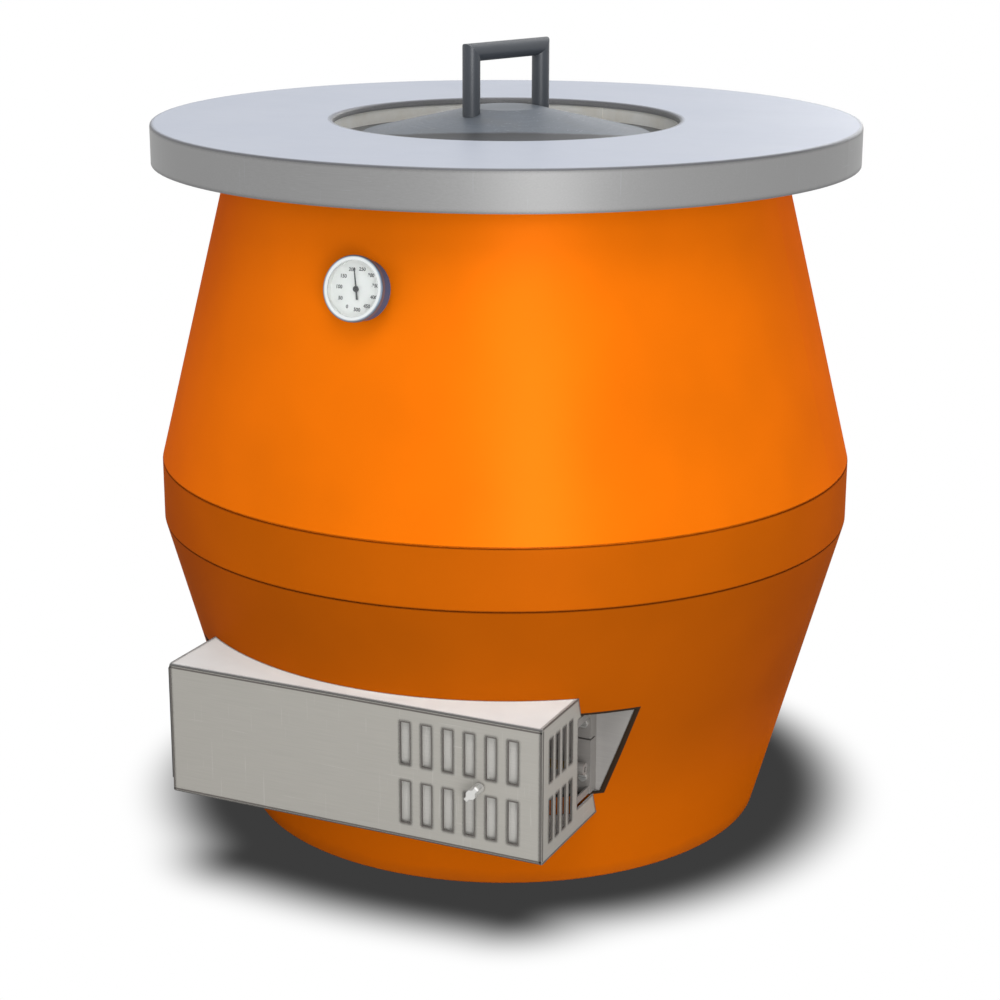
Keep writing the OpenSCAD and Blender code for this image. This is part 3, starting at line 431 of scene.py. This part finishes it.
# %% Material starter
def start(name, metallic=0.0, roughness=0.5):
    """A new material with its Principled shader."""
    made = bpy.data.materials.new(name)
    made.use_nodes = True
    shader = made.node_tree.nodes["Principled BSDF"]
    shader.inputs["Metallic"].default_value = metallic
    shader.inputs["Roughness"].default_value = roughness
    return made, made.node_tree, shader.inputs


def relief(tree, shader, height, distance, strength):
    """Bump from a height, with its depth in metres."""
    bump = add(tree, "ShaderNodeBump", Distance=distance, Strength=strength)
    join(tree, (height, bump.inputs["Height"]), (bump.outputs[0], shader["Normal"]))


print("material helpers ready")

# %% [markdown]
# The cones are powder painted. The paint is smooth and half glossy, with a skin that breaks up the lamps'
# reflections, a tone that wanders a little, dark seams and cut edges, and dirt along the foot where a mop
# reaches. The belt and the lower cone carry painted shade, as darker copies of the orange, and the lower
# cone is painted lighter towards its foot, as painted light where the guard shades it. Light that it throws
# on its neighbours is nearly neutral, so that the steel beside it stays grey.

# %% Material: paint
ORANGE = srgb(250, 121, 8)
# The belt and the lower cone take darker copies of the orange: painted shade.
BELT_SHADE_ORANGE = srgb(202, 97, 5)
LOWER_SHADE_ORANGE = srgb(184, 88, 4)
# Painted light: the lower cone turns to this lighter orange towards its foot, where the guard shades it.
FOOT_LIGHT_ORANGE = srgb(228, 110, 6)
FOOT_LIGHT_HEIGHT = 0.2
FLOOR_DIRT = srgb(74, 58, 44)
DIRT_HEIGHT = 0.02
SEAM_BROWN = srgb(84, 38, 8)
SEAM_WIDTH = 0.0022
EDGE_DARK = srgb(56, 44, 34)
EDGE_FADE, EDGE_SOLID = 0.0009, 0.0004
CALM_BOUNCE = srgb(226, 214, 204)


def make_paint(name, colour, foot=None, cut=None):
    """Paint, painted lighter towards the foot if foot is given, as painted light. Cut is an opening's y, low z and
    high z.
    """
    made, tree, shader = start(name, metallic=0.18, roughness=0.42)
    skin = place(tree, paint_skin)
    settled = place(tree, dust, Patch_size=11.0, Dirt_height=DIRT_HEIGHT)
    darker = tuple(0.9 * v for v in colour)
    tone = mix_colour(tree, ramp(tree, skin["Tone"], 0.3, 0.7), darker, colour)
    spot = add(tree, "ShaderNodeSeparateXYZ")
    join(tree, (add(tree, "ShaderNodeTexCoord").outputs["Object"], spot.inputs[0]))
    # painted light: the tone at the foot lifts the shade that the guard throws there
    if foot:
        tone = mix_colour(tree, ramp(tree, spot.outputs[2], 0.0, FOOT_LIGHT_HEIGHT, "SMOOTHSTEP"), foot, tone)
    tone = mix_colour(tree, maths(tree, "MULTIPLY", settled["Dirt"], 0.25), tone, FLOOR_DIRT)
    lines = place(tree, rubbed_edges, Width=SEAM_WIDTH)["Line"]
    tone = mix_colour(tree, maths(tree, "MULTIPLY", lines, 0.85), tone, SEAM_BROWN)
    if cut:
        back, low, high = cut
        behind = maths(tree, "SUBTRACT", spot.outputs[1], back)
        below = maths(tree, "SUBTRACT", low, spot.outputs[2])
        above = maths(tree, "SUBTRACT", spot.outputs[2], high)
        away = maths(tree, "MAXIMUM", behind, maths(tree, "MAXIMUM", below, above))
        tone = mix_colour(tree, ramp(tree, away, EDGE_FADE, EDGE_SOLID), tone, EDGE_DARK)
    bounced = add(tree, "ShaderNodeLightPath").outputs["Is Diffuse Ray"]
    tone = mix_colour(tree, bounced, tone, CALM_BOUNCE)
    join(tree, (tone, shader["Base Color"]))
    join(tree, (lean(tree, skin["Tone"], 0.38, 0.5), shader["Roughness"]))
    relief(tree, shader, skin["Height"], 0.0006, 0.25)
    shader["Specular IOR Level"].default_value = 0.0
    shader["Specular Tint"].default_value = (*colour, 1)
    shader["Coat Weight"].default_value = 0.03
    shader["Coat Roughness"].default_value = 0.35
    return made


orange_paint = make_paint("orange_paint", ORANGE)
# The belt's paint is a darker copy of the orange: painted shade.
belt_shade_paint = make_paint("belt_shade_paint", BELT_SHADE_ORANGE)
recess_low, recess_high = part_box("burner_recess")
# The lower cone's paint is a darker copy of the orange, painted shade, and lighter towards its foot, painted
# light.
lower_shade_paint = make_paint(
    "lower_shade_paint", LOWER_SHADE_ORANGE, foot=FOOT_LIGHT_ORANGE, cut=(recess_high.y, recess_low.z, recess_high.z)
)
print("paints:", orange_paint.name, belt_shade_paint.name, lower_shade_paint.name)

# %% [markdown]
# The worktop is brushed stainless steel, cool and pale. The guard is the same steel, duller and warmer from
# heat. Grain runs along the sheet, so it changes the roughness in fine lines. Faces that look up and upright
# faces take different tones, painted light and shade by the way they face, and the folds between them are
# dark.

# %% Material: sheet steels
FOLD_DARK = srgb(48, 46, 44)


def make_steel(name, colour, side=None, edge=None, edge_width=0.0012, metallic=0.75, roughness=0.45,
               depth=0.00008, **stretch):
    """Brushed steel. Side is a tone painted on its upright faces, as painted light and shade, and edge of the line
    along its folds.
    """
    made, tree, shader = start(name, metallic=metallic)
    lines = place(tree, grain, **stretch)["Grain"]
    marks = place(tree, hairlines, Fineness=800.0, Share=0.74)["Mask"]
    rubbed = place(tree, rubbed_edges, Width=edge_width)
    settled = place(tree, dust, Patch_size=9.0)
    darker = tuple(0.92 * v for v in colour)
    lighter = tuple(min(1.0, 1.12 * v) for v in colour)
    tone = mix_colour(tree, ramp(tree, lines, 0.3, 0.7), darker, colour)
    # Painted light and shade by facing: faces that look up keep the colour, upright faces take the side tone.
    if side:
        facing = add(tree, "ShaderNodeSeparateXYZ")
        join(tree, (add(tree, "ShaderNodeNewGeometry").outputs["Normal"], facing.inputs[0]))
        upward = ramp(tree, facing.outputs[2], 0.3, 0.8)
        painted_side = mix_colour(tree, ramp(tree, lines, 0.3, 0.7), tuple(0.92 * v for v in side), side)
        tone = mix_colour(tree, upward, painted_side, tone)
        join(tree, (lean(tree, upward, metallic, 0.0), shader["Metallic"]))
    tone = mix_colour(tree, maths(tree, "MULTIPLY", marks, 0.12), tone, lighter)
    if edge:
        tilt = maths(tree, "ABSOLUTE", facing.outputs[2])
        fold = maths(tree, "MULTIPLY", ramp(tree, tilt, 0.12, 0.3), ramp(tree, tilt, 0.97, 0.88))
        line = maths(tree, "MAXIMUM", fold, rubbed["Line"])
        tone = mix_colour(tree, maths(tree, "MULTIPLY", line, 0.88), tone, edge)
    else:
        tone = mix_colour(tree, maths(tree, "MULTIPLY", rubbed["Mask"], 0.6), tone, lighter)
    join(tree, (tone, shader["Base Color"]))
    dusty = maths(tree, "MULTIPLY", settled["Dust"], 0.08)
    rough = maths(tree, "ADD", lean(tree, lines, roughness - 0.07, roughness + 0.07), dusty)
    join(tree, (rough, shader["Roughness"]))
    relief(tree, shader, lines, depth, 0.5)
    return made


# The worktop's top is painted paler and bluer than its skirt: painted light from above.
stainless = make_steel(
    "stainless", srgb(183, 189, 203), side=srgb(144, 144, 144), edge=srgb(78, 78, 80), edge_width=0.005,
    metallic=0.3, Stretch_X=0.015, Stretch_Y=1.0,
)
# The guard's faces that look up are painted white: painted light from above.
guard_steel = make_steel(
    "guard_stainless", srgb(255, 255, 255), side=srgb(174, 171, 164), edge=FOLD_DARK, edge_width=0.004,
    metallic=0.12, roughness=0.5,
)
# The recess's faces that look up are painted darker than its upright ones: painted shade.
recess_steel = make_steel(
    "recess_steel", srgb(150, 148, 146), side=srgb(166, 163, 160), edge=srgb(52, 46, 40), edge_width=0.002,
    metallic=0.3, roughness=0.5,
)
baffle_steel = make_steel("baffle_steel", srgb(216, 214, 209), metallic=0.1, roughness=0.5)
plain_steel = make_steel("plain_steel", srgb(150, 146, 142), metallic=0.4, roughness=0.5)
bright_steel = make_steel("bright_steel", srgb(222, 222, 220), metallic=0.7, roughness=0.28, depth=0.00003)
print("steels:", stainless.name, guard_steel.name, plain_steel.name, bright_steel.name)

# %% [markdown]
# The dial's bezel is turned and the tap's handle is cast, and both are smoother than sheet. The bezel is pale
# in front, and its outer rim carries a blue grey painted shade, found by the distance from the needle's axis.

# %% Material: polished metal
# The bezel's outer rim is painted blue grey, as painted shade.
BEZEL_RIM_SHADE = srgb(96, 116, 136)
RIM_START_R, RIM_FULL_R = 0.0314, 0.0332


def make_polished(name, colour, roughness, rim=None):
    """Smooth metal with dark edges. Rim is a joint on its axis, two radii and a painted shade's tone."""
    made, tree, shader = start(name, metallic=0.45)
    rings = place(tree, spun_grain, Fineness=900.0)
    lines = place(tree, rubbed_edges, Width=0.0012)["Line"]
    tone = mix_colour(tree, maths(tree, "MULTIPLY", lines, 0.7), colour, tuple(0.3 * v for v in colour))
    if rim:
        joint, inner_r, outer_r, rim_shade_tone = rim
        offset = add(tree, "ShaderNodeVectorMath", operation="SUBTRACT")
        offset.inputs[1].default_value = joint["pos_m"]
        sideways = add(tree, "ShaderNodeVectorMath", operation="CROSS_PRODUCT")
        sideways.inputs[1].default_value = joint["axis"]
        reach = add(tree, "ShaderNodeVectorMath", operation="LENGTH")
        join(
            tree, (add(tree, "ShaderNodeTexCoord").outputs["Object"], offset.inputs[0]),
            (offset.outputs[0], sideways.inputs[0]), (sideways.outputs[0], reach.inputs[0]),
        )
        # painted shade over the bezel's outer rim, by distance from the axis
        tone = mix_colour(tree, ramp(tree, reach.outputs["Value"], inner_r, outer_r), tone, rim_shade_tone)
    join(tree, (tone, shader["Base Color"]))
    join(tree, (lean(tree, rings["Grain"], roughness - 0.04, roughness + 0.04), shader["Roughness"]))
    return made


dial_joint = next(joint for joint in frame["joints"] if joint["name"] == "needle_turn")
bezel_rim_shade = (dial_joint, RIM_START_R, RIM_FULL_R, BEZEL_RIM_SHADE)
bezel_steel = make_polished("bezel_steel", srgb(236, 240, 240), 0.3, rim=bezel_rim_shade)
knob_metal = make_polished("knob_metal", srgb(214, 213, 210), 0.35)
print("polished:", bezel_steel.name, knob_metal.name)

# %% [markdown]
# The collar and the lid live over the fire. Heat leaves the collar straw coloured, and its colour turns a
# little darker towards its foot.

# %% Material: collar
COLLAR_TOP_Z = 0.800
COLLAR_FOOT_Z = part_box("mouth_collar")[0].z
DARKENING_DEPTH = 0.006


def make_collar():
    """Pale steel, tinted in patches and a little darker towards its foot."""
    made, tree, shader = start("collar_steel", metallic=0.35, roughness=0.5)
    rings = place(tree, spun_grain, Fineness=400.0)
    spot = add(tree, "ShaderNodeTexCoord").outputs["Object"]
    height = add(tree, "ShaderNodeSeparateXYZ")
    join(tree, (spot, height.inputs[0]))
    darkening = ramp(tree, height.outputs[2], COLLAR_TOP_Z - DARKENING_DEPTH, COLLAR_FOOT_Z)
    patches = noise(tree, spot, 30.0, detail=5.0, roughness=0.6)
    tone = mix_colour(tree, ramp(tree, patches, 0.35, 0.7), srgb(246, 245, 240), srgb(236, 232, 222))
    tone = mix_colour(tree, maths(tree, "MULTIPLY", darkening, 0.12), tone, srgb(84, 78, 72))
    join(tree, (tone, shader["Base Color"]))
    join(tree, (lean(tree, patches, 0.42, 0.62), shader["Roughness"]))
    relief(tree, shader, rings["Grain"], 0.0001, 0.4)
    return made


collar_steel = make_collar()
print("heated:", collar_steel.name, "smoke from", round(COLLAR_TOP_Z - DARKENING_DEPTH, 3), "m down")

# %% [markdown]
# The lid has turned blue grey, and a painted shadow of the mouth's near edge darkens its front. The
# shadow's border is an arc as wide as the mouth.

# %% Material: lid
# Painted shadow of the mouth's near edge on the lid's front: its arc's middle, radii and fade.
LIP_SHADOW_MIDDLE = (-0.041, 0.089, 0.0)
LIP_SHADOW_START = 0.1995
LIP_SHADOW_FULL = 0.2055
LIP_SHADOW_FADE = 0.03
LIP_SHADOW_RAGGED = 0.003


def make_lid():
    """Spun blue grey steel with scratches, a dark edge and a painted shadow over its front."""
    made, tree, shader = start("lid_steel", metallic=0.1)
    rings = place(tree, spun_grain, Fineness=600.0)
    marks = place(tree, hairlines, Fineness=900.0, Share=0.72)["Mask"]
    rubbed = place(tree, rubbed_edges, Width=0.0025)["Line"]
    spot = add(tree, "ShaderNodeTexCoord").outputs["Object"]
    patches = noise(tree, spot, 24.0, detail=5.0, roughness=0.6)
    offset = add(tree, "ShaderNodeVectorMath", operation="SUBTRACT")
    offset.inputs[1].default_value = LIP_SHADOW_MIDDLE
    parts = add(tree, "ShaderNodeSeparateXYZ")
    join(tree, (spot, offset.inputs[0]), (offset.outputs[0], parts.inputs[0]))
    reach = length(tree, parts.outputs[0], parts.outputs[1])
    ragged = maths(tree, "ADD", reach, lean(tree, patches, -LIP_SHADOW_RAGGED, LIP_SHADOW_RAGGED))
    # painted shadow, full just past the arc and thinning towards the lid's front edge
    lip_shadow = ramp(tree, ragged, LIP_SHADOW_START, LIP_SHADOW_FULL)
    shadow_thinning = lean(tree, ramp(tree, ragged, LIP_SHADOW_FULL, LIP_SHADOW_FULL + LIP_SHADOW_FADE), 1.0, 0.75)
    lip_shadow = maths(tree, "MULTIPLY", lip_shadow, shadow_thinning)
    tone = mix_colour(tree, ramp(tree, rings["Grain"], 0.3, 0.7), srgb(87, 94, 103), srgb(97, 104, 113))
    warm = maths(tree, "MULTIPLY", ramp(tree, patches, 0.5, 0.8), 0.3)
    tone = mix_colour(tree, warm, tone, srgb(112, 110, 106))
    tone = mix_colour(tree, maths(tree, "MULTIPLY", marks, 0.3), tone, srgb(190, 196, 202))
    tone = mix_colour(tree, maths(tree, "MULTIPLY", rubbed, 0.7), tone, srgb(54, 56, 60))
    tone = mix_colour(tree, maths(tree, "MULTIPLY", lip_shadow, 0.95), tone, srgb(30, 30, 32))
    join(tree, (tone, shader["Base Color"]))
    join(tree, (lean(tree, patches, 0.4, 0.56), shader["Roughness"]))
    relief(tree, shader, rings["Grain"], 0.0001, 0.4)
    return made


lid_steel = make_lid()
print("heated:", lid_steel.name)

# %% [markdown]
# Dark parts, the handle and the parts of the dial have a thin coat. It wears off along sharp edges, where
# the bare metal shows. The dial's face, its print and the slots' frames of painted shade don't wear.

# %% Material: coated steels
def make_coated(name, colour, roughness=0.45, worn=srgb(150, 150, 150), wear=0.55):
    """Thin paint over steel that shows bare metal along its edges."""
    made, tree, shader = start(name, roughness=roughness)
    skin = place(tree, paint_skin, Skin=600.0, Waves=30.0)
    rubbed = place(tree, rubbed_edges, Width=0.0010, Breakup=260.0)["Mask"]
    lighter = tuple(1.25 * v for v in colour)
    tone = mix_colour(tree, skin["Tone"], colour, lighter)
    tone = mix_colour(tree, maths(tree, "MULTIPLY", rubbed, wear), tone, worn)
    join(tree, (tone, shader["Base Color"]))
    join(tree, (lean(tree, skin["Tone"], roughness - 0.08, roughness + 0.08), shader["Roughness"]))
    relief(tree, shader, skin["Height"], 0.0003, 0.3)
    return made


dark_steel = make_coated("dark_steel", srgb(52, 54, 56))
handle_steel = make_coated("handle_steel", srgb(60, 64, 70), roughness=0.4, wear=0.3)
case_paint = make_coated("case_blue_grey", srgb(36, 82, 120), roughness=0.45, wear=0.15)
dial_paint = make_coated("dial_white", srgb(236, 236, 232), roughness=0.5, wear=0.0)
ink = make_coated("needle_black", srgb(34, 34, 36), roughness=0.5, wear=0.0)
# The slots' frames are painted shade, and the guard's edge strips share their dark steel.
dark_line_steel = make_coated("dark_line_steel", srgb(92, 88, 84), roughness=0.6, wear=0.0)
print("coated:", dark_steel.name, handle_steel.name, case_paint.name, dial_paint.name, ink.name)

# %% [markdown]
# Fired clay is matt, with sandy specks and soft bands where a hand smoothed it as it turned. Firebrick and
# board are paler and chalky. Ceramic wool is a pale mat of fibres. Cast iron keeps the skin of its sand
# mould.

# %% Material: clay, board, wool and iron
def make_earthy(name, colour, dark, speck_size, depth, bands=0.0):
    """A matt mineral surface with patches, specks and, if bands is over zero, smoothing marks in rings."""
    made, tree, shader = start(name, roughness=0.9)
    shader["Specular IOR Level"].default_value = 0.2
    spot = add(tree, "ShaderNodeTexCoord").outputs["Object"]
    patches = noise(tree, spot, 12.0, detail=6.0, roughness=0.65)
    specks = noise(tree, spot, speck_size, detail=3.0, roughness=0.7)
    tone = mix_colour(tree, ramp(tree, patches, 0.3, 0.7), dark, colour)
    tone = mix_colour(tree, maths(tree, "MULTIPLY", ramp(tree, specks, 0.55, 0.75), 0.4), tone, dark)
    join(tree, (tone, shader["Base Color"]))
    height = specks
    if bands > 0:
        smoothed = place(tree, grain, Fineness=60.0, Stretch_X=0.03, Stretch_Y=0.03)["Grain"]
        height = maths(tree, "ADD", maths(tree, "MULTIPLY", smoothed, bands), specks)
    relief(tree, shader, height, depth, 0.6)
    return made


clay = make_earthy("clay", srgb(186, 124, 86), srgb(120, 78, 56), 220.0, 0.0012, bands=2.0)
firebrick = make_earthy("firebrick", srgb(214, 196, 160), srgb(176, 150, 116), 160.0, 0.0008)
board = make_earthy("board", srgb(216, 208, 188), srgb(190, 180, 158), 300.0, 0.0004)
wool = make_earthy("wool", srgb(236, 232, 216), srgb(206, 200, 180), 420.0, 0.003)
iron = make_earthy("burner_iron", srgb(70, 66, 62), srgb(38, 35, 33), 320.0, 0.0006)
iron.node_tree.nodes["Principled BSDF"].inputs["Roughness"].default_value = 0.7
print("mineral finishes:", clay.name, firebrick.name, board.name, wool.name, iron.name)

# %% [markdown]
# Most of the gas fittings are brass. The dial's lens is clear glass, with smears that blur it a little.

# %% Material: brass and lens
brass = make_steel("brass", srgb(206, 168, 92), metallic=0.9, roughness=0.35, depth=0.00003)
lens, tree, shader = start("lens", roughness=0.03)
shader["Base Color"].default_value = (0.97, 0.99, 1.0, 1)
shader["Transmission Weight"].default_value = 1.0
shader["IOR"].default_value = 1.45
smears = noise(tree, add(tree, "ShaderNodeTexCoord").outputs["Object"], 90.0, detail=4.0)
join(tree, (lean(tree, smears, 0.02, 0.08), shader["Roughness"]))
print("materials:", len(bpy.data.materials))

# %% [markdown]
# Each loaded piece now takes its finish. The record says which material slot each piece belongs to, so one
# table from slot to material dresses nearly all. A second one names the pieces with a finish of their own.

# %% Dress the pieces
FINISHES = {
    "orange_paint": orange_paint, "stainless": stainless, "guard_stainless": guard_steel,
    "collar_steel": collar_steel, "lid_steel": lid_steel, "dark_steel": dark_steel,
    "handle_steel": handle_steel, "plain_steel": plain_steel, "burner_iron": iron, "clay": clay,
    "board": board, "firebrick": firebrick, "wool": wool, "brass": brass, "bright_steel": bright_steel,
    "case_blue_grey": case_paint, "dial_white": dial_paint, "needle_black": ink, "lens": lens,
}
slot_of = {part["node"]: part["material_slot"] for part in frame["record"]["subparts"]}
OWN_FINISH = {
    "belt_band": belt_shade_paint, "lower_shell": lower_shade_paint, "baffle": baffle_steel,
    "burner_recess": recess_steel, "gauge_bezel": bezel_steel, "tap_knob": knob_metal,
    "inlet_nipple": plain_steel, "inlet_nut": knob_metal,
}


def dress(thing, finish):
    """Gives every material slot of an object one finish."""
    if not thing.data.materials:
        thing.data.materials.append(finish)
    for slot in thing.material_slots:
        slot.material = finish


for name, thing in nodes.items():
    dress(thing, OWN_FINISH.get(name, FINISHES[slot_of[name]]))
print("dressed", len(nodes), "pieces")

# %% [markdown]
# The pieces that follow are made here. Each is one mesh, rides on the body that it is fixed to and takes
# its own finish.

# %% Own pieces: maker
def piece_from(name, work, finish, body="oven"):
    """Makes an object from a bmesh, dresses it and lets it ride on a body."""
    mesh = bpy.data.meshes.new(name)
    work.to_mesh(mesh)
    work.free()
    made = bpy.data.objects.new(name, mesh)
    bpy.context.scene.collection.objects.link(made)
    mesh.materials.append(finish)
    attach(made, body)
    return made


def points(name):
    """A loaded piece's vertices where it stands."""
    thing = nodes[name]
    return [thing.matrix_world @ vertex.co for vertex in thing.data.vertices]


print("piece maker ready")

# %% [markdown]
# Each slot's walls carry painted shade, a dark frame round each of them. One frame per slot, as
# thick as the sheet and a little over a millimetre wide, lines its opening. All frames of a plate are one
# mesh.

# %% Burnt slot edges
SLOT_COLUMNS = 6
SLOT_W, SLOT_H, SLOT_STEP = 0.013, 0.049, 0.0248
SLOT_ROWS = (0.1076666, 0.1743333)
LAST_SLOT = 0.0321
END_SLOT_COLUMNS = 4
END_SLOT_W, END_SLOT_STEP, END_SLOT_EDGE = 0.0105, 0.0172, 0.019
SHEET_T = 0.0015
RIM_W = 0.0012
RIM_PROUD = 0.0002


def slot_rim(work, corner, across, up, through):
    """Adds a frame. Across, up and through are its full edges as vectors from its corner."""
    in_x, in_z = RIM_W * across.normalized(), RIM_W * up.normalized()
    outline = [corner, corner + across, corner + across + up, corner + up]
    insets = [in_x + in_z, in_z - in_x, -in_x - in_z, in_x - in_z]
    opening = [point + inset for point, inset in zip(outline, insets)]
    rings = []
    for depth in (0, 1):
        for ring in (outline, opening):
            rings.append([work.verts.new(v + depth * through) for v in ring])
    front_out, front_in, back_out, back_in = rings
    loops = (front_out, front_in, back_in, back_out, front_out)
    for i in range(4):
        j = (i + 1) % 4
        for a, b in zip(loops, loops[1:]):
            work.faces.new((a[i], a[j], b[j], b[i]))


guard_low, guard_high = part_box("guard_wrap")
last_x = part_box("guard_end_right")[1].x - LAST_SLOT - SLOT_W / 2
slot_up = Vector((0, 0, SLOT_H))
work = bmesh.new()
through = Vector((0, SHEET_T + 2 * RIM_PROUD, 0))
for column in range(SLOT_COLUMNS):
    for low in SLOT_ROWS:
        corner = Vector((last_x - SLOT_STEP * column, guard_low.y - RIM_PROUD, low))
        slot_rim(work, corner, Vector((SLOT_W, 0, 0)), slot_up, through)
# The frames are painted shade in the slots' walls.
piece_from("front_slot_rims", work, dark_line_steel)
for side in ("right", "left"):
    low_corner, high_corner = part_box("guard_end_" + side)
    through = Vector((high_corner.x - low_corner.x + 2 * RIM_PROUD, 0, 0))
    work = bmesh.new()
    for column in range(END_SLOT_COLUMNS):
        for low in SLOT_ROWS:
            y = guard_low.y + END_SLOT_EDGE + END_SLOT_STEP * column
            corner = Vector((low_corner.x - RIM_PROUD, y, low))
            slot_rim(work, corner, Vector((0, END_SLOT_W, 0)), slot_up, through)
    made = piece_from(side + "_slot_rims", work, dark_line_steel)
    print(made.name, len(made.data.polygons), "faces")

# %% [markdown]
# The guard's folds and cut edges are dark too. Thin strips follow the edges of its front and of its end
# plates, as far back as the body lets each edge run.

# %% Dark guard edges
STRIP_W = 0.0018
STRIP_PROUD = 0.0004
BEND = 0.003
EDGE_REACH = 0.004


def strip(work, low, high):
    """Adds a box between two corners."""
    made = bmesh.ops.create_cube(work, size=1.0)["verts"]
    for vertex in made:
        vertex.co = Vector([low[k] + (vertex.co[k] + 0.5) * (high[k] - low[k]) for k in range(3)])


work = bmesh.new()
front = (guard_low.y - STRIP_PROUD, guard_low.y + STRIP_PROUD)
left, right = guard_low.x - SHEET_T, guard_high.x + SHEET_T
foot, top = guard_low.z + BEND, guard_high.z - BEND
for z in (foot, top - STRIP_W):
    strip(work, (left, front[0], z), (right, front[1], z + STRIP_W))
for x in (left, right - STRIP_W):
    strip(work, (x, front[0], foot), (x + STRIP_W, front[1], top))
for side, name in ((1, "guard_end_right"), (-1, "guard_end_left")):
    plate = points(name)
    low_corner, high_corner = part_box(name)
    x = high_corner.x if side > 0 else low_corner.x
    y = guard_low.y + BEND
    strip(work, (x - STRIP_PROUD, y, foot), (x + STRIP_PROUD, y + STRIP_W, top))
    for z in (low_corner.z, high_corner.z - STRIP_W):
        reach = max(v.y for v in plate if abs(v.z - z) < EDGE_REACH)
        strip(work, (x - STRIP_PROUD, y, z), (x + STRIP_PROUD, reach, z + STRIP_W))
guard_edges = piece_from("guard_edges", work, dark_line_steel)
print("guard edges:", len(guard_edges.data.polygons), "faces")

# %% [markdown]
# The dial carries eleven plain numbers, from 0 to 500 in steps of 50, clockwise round nearly the whole
# face. They lie flat on the plate.

# %% Dial print
NUMBERS = range(0, 501, 50)
NUMBER_R = 0.0208
NUMBER_HEIGHT = 0.0050
NUMBER_BOLD = 0.00018
NUMBER_LIFT = 0.00005
FIRST_NUMBER = math.radians(243)
NUMBER_STEP = math.radians(-32.7)

outward = Vector(dial_joint["axis"]).normalized()
if outward.y > 0:
    outward = -outward
across = Vector((1, 0, 0))
upward = outward.cross(across)
centre = Vector(dial_joint["pos_m"])


def along_outward(name, pick):
    """Place of a piece's front or back face along the dial's axis."""
    return pick((v - centre).dot(outward) for v in points(name))


def round_dial(angle, radius, reach):
    """A point at an angle and a radius round the dial's axis, reach in front of the dial's centre."""
    return centre + reach * outward + radius * (math.cos(angle) * across + math.sin(angle) * upward)


face = along_outward("gauge_dial", max) + NUMBER_LIFT
work = bmesh.new()
for i, number in enumerate(NUMBERS):
    text = bpy.data.curves.new("number", "FONT")
    text.body = str(number)
    text.size = NUMBER_HEIGHT
    text.offset = NUMBER_BOLD
    text.align_x, text.align_y = "CENTER", "CENTER"
    holder = bpy.data.objects.new("number", text)
    mesh = bpy.data.meshes.new_from_object(holder)
    middle = round_dial(FIRST_NUMBER + i * NUMBER_STEP, NUMBER_R, face)
    for vertex in mesh.vertices:
        vertex.co = middle + vertex.co.x * across + vertex.co.y * upward
    work.from_mesh(mesh)
    bpy.data.objects.remove(holder)
    bpy.data.curves.remove(text)
    bpy.data.meshes.remove(mesh)
dial_numbers = piece_from("dial_numbers", work, ink)
print("numbers:", len(dial_numbers.data.polygons), "faces")

# %% [markdown]
# A white ring lines the case between the plate and the glass.

# %% Dial lining
LINING_STEPS = 96
LINING_GAP = 0.0001
GLASS_GAP = 0.0002

glass = along_outward("gauge_lens", min) - GLASS_GAP
lining_r = max((v - centre).cross(outward).length for v in points("gauge_dial")) - LINING_GAP
angles = [math.radians(360 / LINING_STEPS * i) for i in range(LINING_STEPS)]
work = bmesh.new()
low_ring, high_ring = [
    [work.verts.new(round_dial(angle, lining_r, reach)) for angle in angles] for reach in (face, glass)
]
for i in range(LINING_STEPS):
    j = (i + 1) % LINING_STEPS
    work.faces.new((low_ring[i], high_ring[i], high_ring[j], low_ring[j])).smooth = True
dial_lining = piece_from("dial_lining", work, dial_paint)
print("lining:", len(dial_lining.data.polygons), "faces")

# %% [markdown]
# The handle is welded to the lid. A small uneven bead runs round the foot of each post and follows the
# lid's surface, found by looking straight down at the lid shell.

# %% Weld beads
BEAD_R = 0.0022
BEAD_STEPS = 72
BEAD_SIDES = 8
BEAD_LIFT = 0.1
POST_FOOT_H = 0.03
LOOK_FROM_H = 0.2

handle_points = points("lid_handle")
foot_z = min(v.z for v in handle_points)
shell = nodes["lid_shell"]
inward = shell.matrix_world.inverted()
down = (inward.to_3x3() @ Vector((0, 0, -1))).normalized()
low_points = [v for v in handle_points if v.z < foot_z + POST_FOOT_H]
span = max((v.xy for v in low_points), key=lambda v: v.length).normalized()
work = bmesh.new()
for sign in (-1, 1):
    post = [v.xy for v in low_points if sign * v.xy.dot(span) > 0]
    ends = [Vector((pick(v.x for v in post), pick(v.y for v in post))) for pick in (min, max)]
    middle = (ends[0] + ends[1]) / 2
    post_r = max((v - middle).length for v in post)
    loops = []
    for i in range(BEAD_STEPS):
        angle = math.radians(360 / BEAD_STEPS * i)
        swell = BEAD_R * (1 + 0.12 * math.sin(9 * angle) + 0.08 * math.sin(23 * angle + sign))
        out = Vector((math.cos(angle), math.sin(angle)))
        ring = []
        for k in range(BEAD_SIDES):
            turn = math.radians(360 / BEAD_SIDES * k)
            spot = middle + out * (post_r + swell * math.cos(turn))
            above = Vector((spot.x, spot.y, foot_z + LOOK_FROM_H))
            hit, landing = shell.ray_cast(inward @ above, down)[:2]
            level = (shell.matrix_world @ landing).z if hit else foot_z
            ring.append(work.verts.new((spot.x, spot.y, level + swell * (math.sin(turn) + BEAD_LIFT))))
        loops.append(ring)
    for i in range(BEAD_STEPS):
        a, b = loops[i], loops[(i + 1) % BEAD_STEPS]
        for k in range(BEAD_SIDES):
            after = (k + 1) % BEAD_SIDES
            work.faces.new((a[k], b[k], b[after], a[after])).smooth = True
beads = piece_from("handle_welds", work, handle_steel, "lid")
print("weld beads:", len(beads.data.polygons), "faces")
